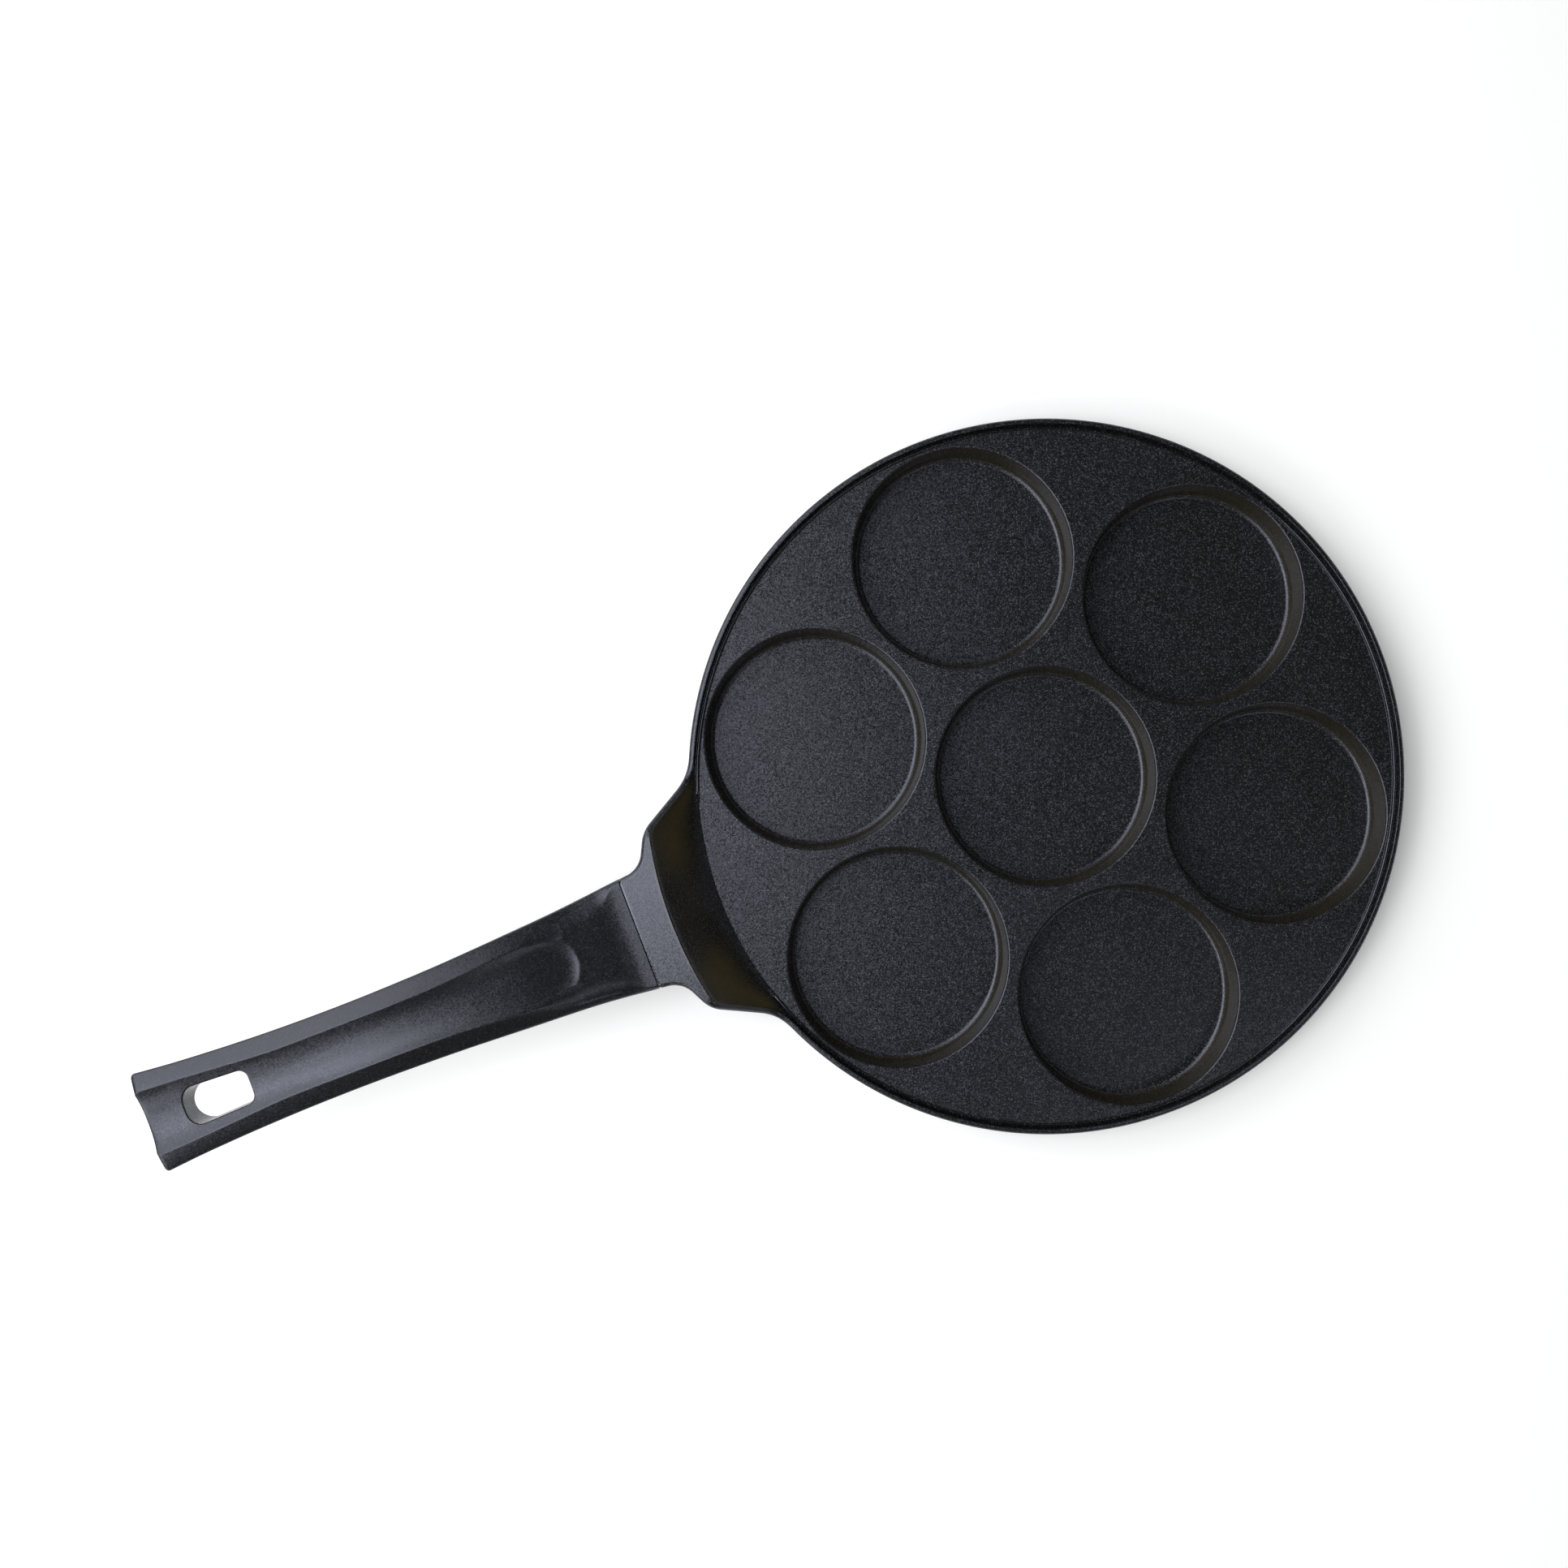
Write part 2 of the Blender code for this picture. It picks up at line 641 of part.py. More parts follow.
class HandleForm:
    """Shape of the moulded handle at any distance from the seam."""

    def __init__(self, from_seam):
        share = from_seam / HANDLE_LENGTH
        self.from_seam = from_seam
        self.half_width = curve_value(HALF_WIDTH, share)
        self.widest = SEAM_WIDEST + curve_value(WIDEST_RISE, share)
        self.ridge_half = curve_value(RIDGE_HALF, share)
        self.ridge = self.widest + curve_value(RIDGE_RISE, share)
        self.belly = curve_value(BELLY_DEPTH, share)
        self.squareness = curve_value(BELLY_SQUARENESS, share)
        self.hollow = curve_value(TROUGH_DEPTH, share)

    def trough(self, side):
        """Depth of the scoop and trough below the ridges at a distance from the centre line."""
        scoop_centre = SCOOP_START + SCOOP_RADIUS
        if self.from_seam <= SCOOP_START:
            return 0.0
        if self.from_seam < scoop_centre:
            reach = math.hypot((scoop_centre - self.from_seam) / SCOOP_RADIUS, side / self.ridge_half)
            inside = (1.0 - reach) * self.ridge_half
        else:
            inside = self.ridge_half - abs(side)
        settle = ease(scoop_centre, scoop_centre + TROUGH_SETTLE, self.from_seam)
        wall = blend(SCOOP_WALL, self.ridge_half, settle)
        rise = 1.0 - min(max(inside, 0.0) / wall, 1.0)
        return self.hollow * (1.0 - rise**TROUGH_HOLLOW)

    def ring(self):
        """Closed section as (side, height) points, round from the top's centre line."""
        half = []
        for share in (0.0, 0.2, 0.4, 0.6, 0.8, 0.92):
            side = self.ridge_half * share
            half.append((side, self.ridge - self.trough(side)))
        ridge = Vector((self.ridge_half, self.ridge))
        widest = Vector((self.half_width, self.widest))
        run = widest - ridge
        outward = Vector((-run.y, run.x)).normalized()
        for share in (0.0, 0.35, 0.7, 0.9):
            point = ridge + run * share + outward * (FACET_BULGE * 4.0 * share * (1.0 - share))
            half.append((point.x, point.y))
        for degrees in (0.0, 8.0, 25.0, 40.0, 52.0, 66.0, 80.0, 90.0):
            turn = math.radians(degrees)
            power = 2.0 / self.squareness
            side = self.half_width * max(math.cos(turn), 0.0) ** power
            height = self.widest - self.belly * math.sin(turn) ** power
            half.append((max(side, 0.0), height))
        half[-1] = (0.0, half[-1][1])
        other = [(-side, height) for side, height in half[1:-1]]
        return half + other[::-1]


def handle_stations():
    """Distances from the seam of the handle's sections, close together at the scoop and the ends."""
    stations = [CLEARANCE, CLEARANCE + SEAM_CHAMFER]
    place = 4.0 * MM
    while place < HANDLE_LENGTH - 6.0 * MM:
        stations.append(place)
        near_scoop = SCOOP_START - 5.0 * MM < place < SCOOP_START + 1.3 * SCOOP_RADIUS
        shoulder = place < 11.0 * MM
        place += (1.2 if shoulder else 1.7 if near_scoop else 5.0) * MM
    for inset in (1.0, 0.55, 0.2, 0.0):
        stations.append(HANDLE_LENGTH - HANDLE_END_ROUND * inset)
    return stations


def make_handle_grip(finish):
    """Moulded handle: socket, thumb scoop, trough, hanging hole and a recess for the screw."""
    form = bmesh.new()
    rows = []
    for from_seam in handle_stations():
        section = HandleForm(from_seam)
        start_inset = max(CLEARANCE + SEAM_CHAMFER - from_seam, 0.0)
        end_run = max(from_seam - (HANDLE_LENGTH - HANDLE_END_ROUND), 0.0) / HANDLE_END_ROUND
        curl = 1.0 - math.sqrt(max(1.0 - end_run * end_run, 0.0))
        side_scale = 1.0 - (start_inset + HANDLE_END_ROUND * curl) / section.half_width
        centre = (section.ridge + section.widest - section.belly) / 2.0
        depth = (section.ridge - section.widest + section.belly) / 2.0
        height_scale = 1.0 - (start_inset + HANDLE_EDGE_ROUND * curl) / depth
        row = []
        for side, height in section.ring():
            place = (
                SEAM_X + from_seam,
                side * side_scale,
                centre + (height - centre) * height_scale,
            )
            row.append(form.verts.new(place))
        rows.append(row)
    skin_rows(form, rows, True)
    form.faces.new(rows[0])
    form.faces.new(rows[-1])
    handle = new_object("handle_grip", finish_mesh("handle_grip", form), finish)

    socket = rounded_bar(
        "socket_cutter",
        SEAM_X - TENON_ROOT,
        SEAM_X + TENON_LENGTH + CLEARANCE,
        TENON_WIDTH + 2.0 * CLEARANCE,
        TENON_BOTTOM - CLEARANCE,
        TENON_TOP + CLEARANCE,
        TENON_ROUND + CLEARANCE,
    )
    cut(handle, socket)
    recess = WASHER_RADIUS + CLEARANCE
    shank = SCREW_RADIUS + CLEARANCE
    below = HANDLE_BOTTOM - 5.0 * MM
    bore = [(recess, below), (recess, SCREW_SEAT), (shank, SCREW_SEAT), (shank, TENON_BOTTOM)]
    cut(handle, turned_mesh("screw_bore_cutter", bore[::-1], ROUND_SIDES, ((SCREW_X, 0.0),)))
    cut(handle, hanging_hole_mesh())
    return handle


def hanging_hole_mesh():
    """Cutter for the hanging hole: a rounded wedge in plan that flares at both faces."""
    far = HANDLE_END - HOLE_END_MARGIN
    near = far - HOLE_LENGTH
    corners = [
        Vector((near, -HOLE_NEAR_HALF)),
        Vector((far, -HOLE_FAR_HALF)),
        Vector((far, HOLE_FAR_HALF)),
        Vector((near, HOLE_NEAR_HALF)),
    ]
    plan = []
    for index, corner in enumerate(corners):
        before = corners[index - 1]
        after = corners[(index + 1) % 4]
        radius = HOLE_FAR_CORNER if corner.x == far else HOLE_NEAR_CORNER
        plan += fillet(before, corner, after, radius, ARC_STEPS)
    middle = Vector(((near + far) / 2.0, 0.0))
    section = HandleForm(far - HOLE_LENGTH / 2.0 - SEAM_X)
    top = section.ridge - section.hollow
    bottom = section.widest - section.belly
    levels = [
        (bottom - 2.0 * HOLE_LIP, HOLE_LIP),
        (bottom + HOLE_LIP, 0.0),
        (top - HOLE_LIP, 0.0),
        (top, 0.25 * HOLE_LIP),
        (top + 4.0 * HOLE_LIP, 2.0 * HOLE_LIP),
    ]
    form = bmesh.new()
    rows = []
    for height, grow in levels:
        row = []
        for point in plan:
            arm = point - middle
            spread = middle + arm + arm.normalized() * grow
            row.append(form.verts.new((spread.x, spread.y, height)))
        rows.append(row)
    skin_rows(form, rows, True)
    form.faces.new(rows[0])
    form.faces.new(rows[-1])
    return finish_mesh("hanging_hole_cutter", form)


def make_handle_screw(finish):
    """Pan-head screw from below, with a cross slot in its head."""
    tip = TENON_TOP - SCREW_BELOW_TENON_TOP
    chamfer = 0.5 * MM
    profile = [
        (SCREW_RADIUS - chamfer, tip),
        (SCREW_RADIUS, tip - chamfer),
        (SCREW_RADIUS, HEAD_TOP),
        (SCREW_HEAD_RADIUS, HEAD_TOP),
        (SCREW_HEAD_RADIUS, HEAD_BOTTOM + 0.9 * MM),
        (SCREW_HEAD_RADIUS - 0.5 * MM, HEAD_BOTTOM + 0.3 * MM),
        (SCREW_HEAD_RADIUS - 1.6 * MM, HEAD_BOTTOM),
    ]
    mesh = turned_mesh("handle_screw", profile, ROUND_SIDES // 2, ((SCREW_X, 0.0),))
    screw = new_object("handle_screw", mesh, finish)
    reach = SCREW_HEAD_RADIUS * 0.55
    for name, long_x, long_y in (
        ("slot_cutter_x", reach, SCREW_SLOT_WIDTH / 2.0),
        ("slot_cutter_y", SCREW_SLOT_WIDTH / 2.0, reach),
    ):
        form = bmesh.new()
        bmesh.ops.create_cube(form, size=2.0)
        bmesh.ops.scale(form, vec=(long_x, long_y, SCREW_RECESS), verts=form.verts)
        bmesh.ops.translate(form, vec=(SCREW_X, 0.0, HEAD_BOTTOM), verts=form.verts)
        cut(screw, finish_mesh(name, form))
    return screw


def make_washer(name, finish, bottom, thickness):
    """Flat ring round the screw."""
    inner = SCREW_RADIUS + CLEARANCE
    outer = WASHER_RADIUS
    top = bottom + thickness
    form = bmesh.new()
    rings = []
    for radius, height in ((inner, top), (outer, top), (outer, bottom), (inner, bottom)):
        ring = []
        for side in range(ROUND_SIDES // 2):
            turn = 4.0 * math.pi * side / ROUND_SIDES
            place = (SCREW_X + radius * math.cos(turn), radius * math.sin(turn), height)
            ring.append(form.verts.new(place))
        rings.append(ring)
    skin_rows(form, rings + rings[:1], True)
    return new_object(name, finish_mesh(name, form), finish)


def make_spring_washer(finish):
    """Split ring that keeps the screw tight as the handle warms and cools."""
    washer = make_washer(
        "spring_washer", finish, SPRING_WASHER_BOTTOM, SPRING_WASHER_THICKNESS
    )
    form = bmesh.new()
    bmesh.ops.create_cube(form, size=1.0)
    size = (2.0 * WASHER_RADIUS, SPRING_WASHER_SPLIT, 3.0 * SPRING_WASHER_THICKNESS)
    bmesh.ops.scale(form, vec=size, verts=form.verts)
    middle = SPRING_WASHER_BOTTOM + SPRING_WASHER_THICKNESS / 2.0
    bmesh.ops.translate(form, vec=(SCREW_X + WASHER_RADIUS, 0.0, middle), verts=form.verts)
    cut(washer, finish_mesh("split_cutter", form))
    return washer


def build():
    """Make every piece of the pan."""
    clear_scene()
    coating = material("nonstick_coating", (0.022, 0.024, 0.029), 0.42, 0.0)
    steel = material("base_steel", (0.56, 0.55, 0.53), 0.34, 1.0)
    grip = material("handle_resin", (0.030, 0.031, 0.035), 0.55, 0.0)
    zinc = material("screw_steel", (0.62, 0.62, 0.62), 0.30, 1.0)
    make_pan_body(coating)
    make_induction_plate(steel)
    make_handle_grip(grip)
    make_handle_screw(zinc)
    make_spring_washer(zinc)
    make_washer("flat_washer", zinc, FLAT_WASHER_BOTTOM, FLAT_WASHER_THICKNESS)


build()
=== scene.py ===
"""Looks of a seven-well blini pan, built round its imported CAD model.

The pan lies on a white studio floor and is seen from straight above. +X runs out along the handle,
+Z is up, and the origin is the centre of the base. All sizes are in metres.
"""

from __future__ import annotations

import json
import logging
import math
from collections.abc import Callable, Sequence
from dataclasses import dataclass, field
from enum import Enum

import bmesh
import bpy
import numpy as np
from mathutils import Matrix, Vector
from mathutils.geometry import delaunay_2d_cdt

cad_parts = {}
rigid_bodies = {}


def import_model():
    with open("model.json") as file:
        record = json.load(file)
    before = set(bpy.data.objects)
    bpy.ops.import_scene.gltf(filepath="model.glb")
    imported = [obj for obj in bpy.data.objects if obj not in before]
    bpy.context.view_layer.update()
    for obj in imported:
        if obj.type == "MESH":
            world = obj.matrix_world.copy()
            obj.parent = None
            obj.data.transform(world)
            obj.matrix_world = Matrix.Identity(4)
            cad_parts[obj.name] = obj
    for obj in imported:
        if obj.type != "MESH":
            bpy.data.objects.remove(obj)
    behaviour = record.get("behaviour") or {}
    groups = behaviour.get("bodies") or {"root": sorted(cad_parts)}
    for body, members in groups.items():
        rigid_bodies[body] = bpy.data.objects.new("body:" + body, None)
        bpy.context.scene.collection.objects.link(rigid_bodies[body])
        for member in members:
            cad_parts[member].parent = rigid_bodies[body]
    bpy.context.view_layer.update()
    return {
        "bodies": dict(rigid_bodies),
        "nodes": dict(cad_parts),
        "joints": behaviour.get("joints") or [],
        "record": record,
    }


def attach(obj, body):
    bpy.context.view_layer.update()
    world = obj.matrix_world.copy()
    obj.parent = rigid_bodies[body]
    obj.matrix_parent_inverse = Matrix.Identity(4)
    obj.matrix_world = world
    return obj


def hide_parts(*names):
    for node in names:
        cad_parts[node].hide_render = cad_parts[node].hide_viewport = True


Plan = tuple[float, float]
Point = tuple[float, float, float]
Colour = tuple[float, float, float]
Curve = tuple[Plan, ...]
Material = bpy.types.Material

LOG = logging.getLogger("blini_pan")
MM = 0.001
GAP = 0.3 * MM
DISC_RADIUS = 130.0 * MM
PLATE_HEIGHT = 17.0 * MM
SEAM_X = 156.5 * MM
SCREW_X = 168.5 * MM
# share of painted reflection above which a well ring is also polished
POLISHED_REFLECTION = 0.3


def ease(start: float, end: float, value: float) -> float:
    """Smooth S from 0 at start to 1 at end.

    Args:
        start: Value below which the result is 0.
        end: Value above which the result is 1.
        value: Value to place between them.

    Returns:
        The eased share.
    """
    share = min(max((value - start) / (end - start), 0.0), 1.0)
    return share * share * (3.0 - 2.0 * share)


def mix(first: float, second: float, share: float) -> float:
    """Straight mix of two values."""
    return first + (second - first) * share


def soft_max(first: float, second: float, width: float) -> float:
    """The larger of two values, rounded over a width where they cross."""
    overlap = max(width - abs(first - second), 0.0)
    return max(first, second) + overlap * overlap / (4.0 * width)


def soft_min(first: float, second: float, width: float) -> float:
    """The smaller of two values, rounded over a width where they cross."""
    return -soft_max(-first, -second, width)


def heading(angle: float) -> Vector:
    """Plan direction at an angle from the X axis."""
    return Vector((math.cos(angle), math.sin(angle)))


def quarter(steps: int) -> list[Plan]:
    """(cosine, sine) pairs of equal steps through a right angle, with both ends."""
    turns = [math.radians(90.0) * step / steps for step in range(steps + 1)]
    return [(math.cos(turn), math.sin(turn)) for turn in turns]


def ring_places(radius: float, count: int, centre: Plan = (0.0, 0.0), shift: float = 0.0) -> list[Plan]:
    """Places evenly round a circle.

    Args:
        radius: Radius of the circle.
        count: Number of places.
        centre: Centre of the circle.
        shift: Turn of the first place from the X axis, as a share of a step.

    Returns:
        The places, anticlockwise.
    """
    turns = [2.0 * math.pi * (index + shift) / count for index in range(count)]
    return [(centre[0] + radius * math.cos(turn), centre[1] + radius * math.sin(turn)) for turn in turns]


def spline(points: Curve, place: float) -> float:
    """Smooth value at a place on a curve given by (place, value) points.

    Args:
        points: Points of the curve, in order of place.
        place: Where the value is wanted.

    Returns:
        The value of the cubic through the points.
    """
    index = 0
    while index < len(points) - 2 and place > points[index + 1][0]:
        index += 1
    (x0, y0), (x1, y1) = points[index], points[index + 1]
    slopes = []
    for at in (index, index + 1):
        low, high = points[max(at - 1, 0)], points[min(at + 1, len(points) - 1)]
        slopes.append((high[1] - low[1]) / (high[0] - low[0]))
    share = min(max((place - x0) / (x1 - x0), 0.0), 1.0)
    square, cube = share**2, share**3
    return (
        (2 * cube - 3 * square + 1) * y0
        + (cube - 2 * square + share) * (x1 - x0) * slopes[0]
        + (3 * square - 2 * cube) * y1
        + (cube - square) * (x1 - x0) * slopes[1]
    )


def arc_round(before: Vector, corner: Vector, after: Vector, radius: float, steps: int) -> list[Vector]:
    """Points of the arc that rounds a corner between two straight lines.

    Args:
        before: Point on the first line.
        corner: Where the lines meet.
        after: Point on the second line.
        radius: Radius of the arc, cut down where the lines are too short for it.
        steps: Number of segments.

    Returns:
        The points from the first line to the second.
    """
    longest_share = 0.48
    straight = math.radians(89.5)
    to_before = (before - corner).normalized()
    to_after = (after - corner).normalized()
    half = to_before.angle(to_after) / 2.0
    if half > straight:
        return [corner.copy() for _ in range(steps + 1)]
    shortest = min((before - corner).length, (after - corner).length)
    reach = min(radius / math.tan(half), longest_share * shortest)
    size = reach * math.tan(half)
    centre = corner + (to_before + to_after).normalized() * (size / math.sin(half))
    first = corner + to_before * reach - centre
    last = corner + to_after * reach - centre
    return [centre + first.slerp(last, step / steps) * size for step in range(steps + 1)]


def outside_rings(centres: Sequence[Plan], radius: float, sides: int) -> Callable[[float, float], bool]:
    """Test for the triangles that lie outside rings of points.

    Args:
        centres: Centres of the rings.
        radius: Radius of every ring.
        sides: Points in each ring.

    Returns:
        Whether the middle (x, y) of a triangle between ring points is outside every ring.
    """
    chord = math.cos(math.pi / sides)
    flattest = (1.0 + 2.0 * math.cos(2.0 * math.pi / sides)) / 3.0
    clear = radius * (chord + flattest) / 2.0
    return lambda x, y: all(math.hypot(x - cx, y - cy) > clear for cx, cy in centres)


def outside_loop(loop: Sequence[Vector]) -> Callable[[float, float], bool]:
    """Test for the places outside a convex anticlockwise loop.

    Args:
        loop: Points of the loop.

    Returns:
        Whether a place (x, y) is outside.
    """
    edges = list(zip(loop, [*loop[1:], loop[0]]))
    return lambda x, y: any(
        (end.x - start.x) * (y - start.y) - (end.y - start.y) * (x - start.x) < 0.0 for start, end in edges
    )


class Skin:
    """Collects points and faces of one piece, with a share of painted reflection and a polish value at each
    point.
    """

    def __init__(self) -> None:
        """Start with nothing."""
        self.points: list[Point] = []
        self.faces: list[tuple[int, ...]] = []
        self.painted_reflection: list[float] = []
        self.polish: list[float] = []

    def add(self, point: Sequence[float], painted_reflection: float = 0.0, polish: float = 0.0) -> int:
        """Add one point.

        Args:
            point: Its place.
            painted_reflection: Share of the painted reflection.
            polish: Share of the polish.

        Returns:
            The point's number.
        """
        self.points.append((float(point[0]), float(point[1]), float(point[2])))
        self.painted_reflection.append(painted_reflection)
        self.polish.append(polish)
        return len(self.points) - 1

    def row(self, points: Sequence[Sequence[float]], polish: float = 0.0) -> list[int]:
        """Add a row of points and return their numbers."""
        return [self.add(point, 0.0, polish) for point in points]

    def loft(self, rows: Sequence[Sequence[int]], closed: bool = True) -> None:
        """Join rows of the same length, each to the next, with quads.

        Args:
            rows: Numbers of each row's points.
            closed: Whether each row's last point also joins its first.
        """
        for low, high in zip(rows, rows[1:]):
            count = len(low)
            for index in range(count if closed else count - 1):
                after = (index + 1) % count
                self.faces.append((low[index], low[after], high[after], high[index]))

    def turn(
        self,
        profile: Sequence[Plan],
        sides: int,
        centre: Plan = (0.0, 0.0),
        painted_reflections: Sequence[float] = (),
    ) -> list[list[int]]:
        """Add a turned form, open at both ends; rings with much painted reflection are polished.

        Args:
            profile: (radius, height) points.
            sides: Points in each ring.
            centre: Centre in plan.
            painted_reflections: Share of painted reflection in each ring, or nothing for none.

        Returns:
            The numbers of each ring's points.
        """
        rings = []
        for (radius, height), painted_reflection in zip(profile, painted_reflections or [0.0] * len(profile)):
            polish = 1.0 if painted_reflection > POLISHED_REFLECTION else 0.0
            places = ring_places(radius, sides, centre)
            rings.append([self.add((x, y, height), painted_reflection, polish) for x, y in places])
        self.loft(rings)
        return rings

    def fan(self, ring: Sequence[int], centre: Point) -> None:
        """Close a ring with triangles to a centre point."""
        hub = self.add(centre)
        self.faces += [(number, after, hub) for number, after in zip(ring, [*ring[1:], ring[0]])]

    def fill(
        self,
        loops: Sequence[Sequence[int]],
        axes: tuple[int, int] = (0, 1),
        keep: Callable[[float, float], bool] = lambda x, y: True,
    ) -> None:
        """Fill the room between loops of existing points with triangles.

        Args:
            loops: Closed loops of point numbers, the outer one first.
            axes: The two coordinates that the filling looks at.
            keep: Tells for the middle of a triangle whether it stays.
        """
        numbers = [number for loop in loops for number in loop]
        flat = [Vector((self.points[n][axes[0]], self.points[n][axes[1]])) * (1.0 / MM) for n in numbers]
        edges = []
        start = 0
        for loop in loops:
            count = len(loop)
            edges += [(start + index, start + (index + 1) % count) for index in range(count)]
            start += count
        places, _, faces, sources, _, _ = delaunay_2d_cdt(flat, edges, [], 1, 1e-6)
        for face in faces:
            middle = sum((places[corner] for corner in face), Vector((0.0, 0.0))) / len(face) * MM
            if keep(middle.x, middle.y):
                self.faces.append(tuple(numbers[sources[corner][0]] for corner in face))

    def build(self, name: str, finish: Material | None = None, crease: float = 32.0) -> bpy.types.Object:
        """Make the object: merged, turned outwards and shaded smooth between its creases.

        Args:
            name: Name of the piece.
            finish: Its material, if it gets one here.
            crease: Angle in degrees past which an edge stays sharp.

        Returns:
            The object, at the origin.
        """
        mesh = bpy.data.meshes.new(name)
        mesh.from_pydata(self.points, [], self.faces)
        # the share of painted reflection is stored on the mesh for the coating
        for label, values in (("painted_reflection", self.painted_reflection), ("polish", self.polish)):
            mesh.attributes.new(label, "FLOAT", "POINT").data.foreach_set("value", values)
        form = bmesh.new()
        form.from_mesh(mesh)
        bmesh.ops.remove_doubles(form, verts=form.verts, dist=0.001 * MM)
        bmesh.ops.dissolve_degenerate(form, edges=form.edges, dist=0.0005 * MM)
        bmesh.ops.recalc_face_normals(form, faces=form.faces)
        form.to_mesh(mesh)
        form.free()
        mesh.shade_smooth()
        mesh.set_sharp_from_angle(angle=math.radians(crease))
        if finish:
            mesh.materials.append(finish)
        piece = bpy.data.objects.new(name, mesh)
        bpy.context.scene.collection.objects.link(piece)
        return piece


@dataclass(frozen=True)
class Bar:
    """Rounded bar along X: the tenon, or the socket that it fits."""

    start: float
    end: float
    half: float
    bottom: float
    top: float
    corner: float
    corner_steps: int = 4

    @property
    def middle(self) -> float:
        """Height of the bar's axis."""
        return (self.bottom + self.top) / 2.0

    def ring(self, x: float, shrink: float = 0.0) -> list[Point]:
        """Section of the bar.

        Args:
            x: Where the section is.
            shrink: How far it is drawn in all round.

        Returns:
            Its points, anticlockwise.
        """
        across = self.half - shrink - self.corner
        low, high = self.bottom + shrink + self.corner, self.top - shrink - self.corner
        ring = []
        for y, z, first in ((across, high, 0), (-across, high, 90), (-across, low, 180), (across, low, 270)):
            for step in range(self.corner_steps + 1):
                turn = math.radians(first + 90.0 * step / self.corner_steps)
                ring.append((x, y + self.corner * math.cos(turn), z + self.corner * math.sin(turn)))
        return ring


class Value:
    """A shader socket that takes part in Python arithmetic."""

    def __init__(self, tree: ShaderTree, socket: bpy.types.NodeSocket) -> None:
        """Wrap a socket of a tree."""
        self.tree = tree
        self.socket = socket

    def _math(self, operation: str, first: Value | float, second: Value | float = 0.0) -> Value:
        """Add a Math node and return its output."""
        return self.tree.node("ShaderNodeMath", {"operation": operation}, {0: first, 1: second})

    def __add__(self, other: Value | float) -> Value:
        """Sum."""
        return self._math("ADD", self, other)

    __radd__ = __add__

    def __sub__(self, other: Value | float) -> Value:
        """Difference."""
        return self._math("SUBTRACT", self, other)

    def __rsub__(self, other: float) -> Value:
        """Difference, reflected."""
        return self._math("SUBTRACT", other, self)

    def __mul__(self, other: Value | float) -> Value:
        """Product."""
        return self._math("MULTIPLY", self, other)

    __rmul__ = __mul__

    def sine(self) -> Value:
        """Sine of the value."""
        return self._math("SINE", self)

    def between(self, low: float, high: float) -> Value:
        """Smooth share of the way from low to high."""
        sockets = {0: self, 1: low, 2: high, 3: 0.0, 4: 1.0}
        return self.tree.node("ShaderNodeMapRange", {"interpolation_type": "SMOOTHSTEP"}, sockets)


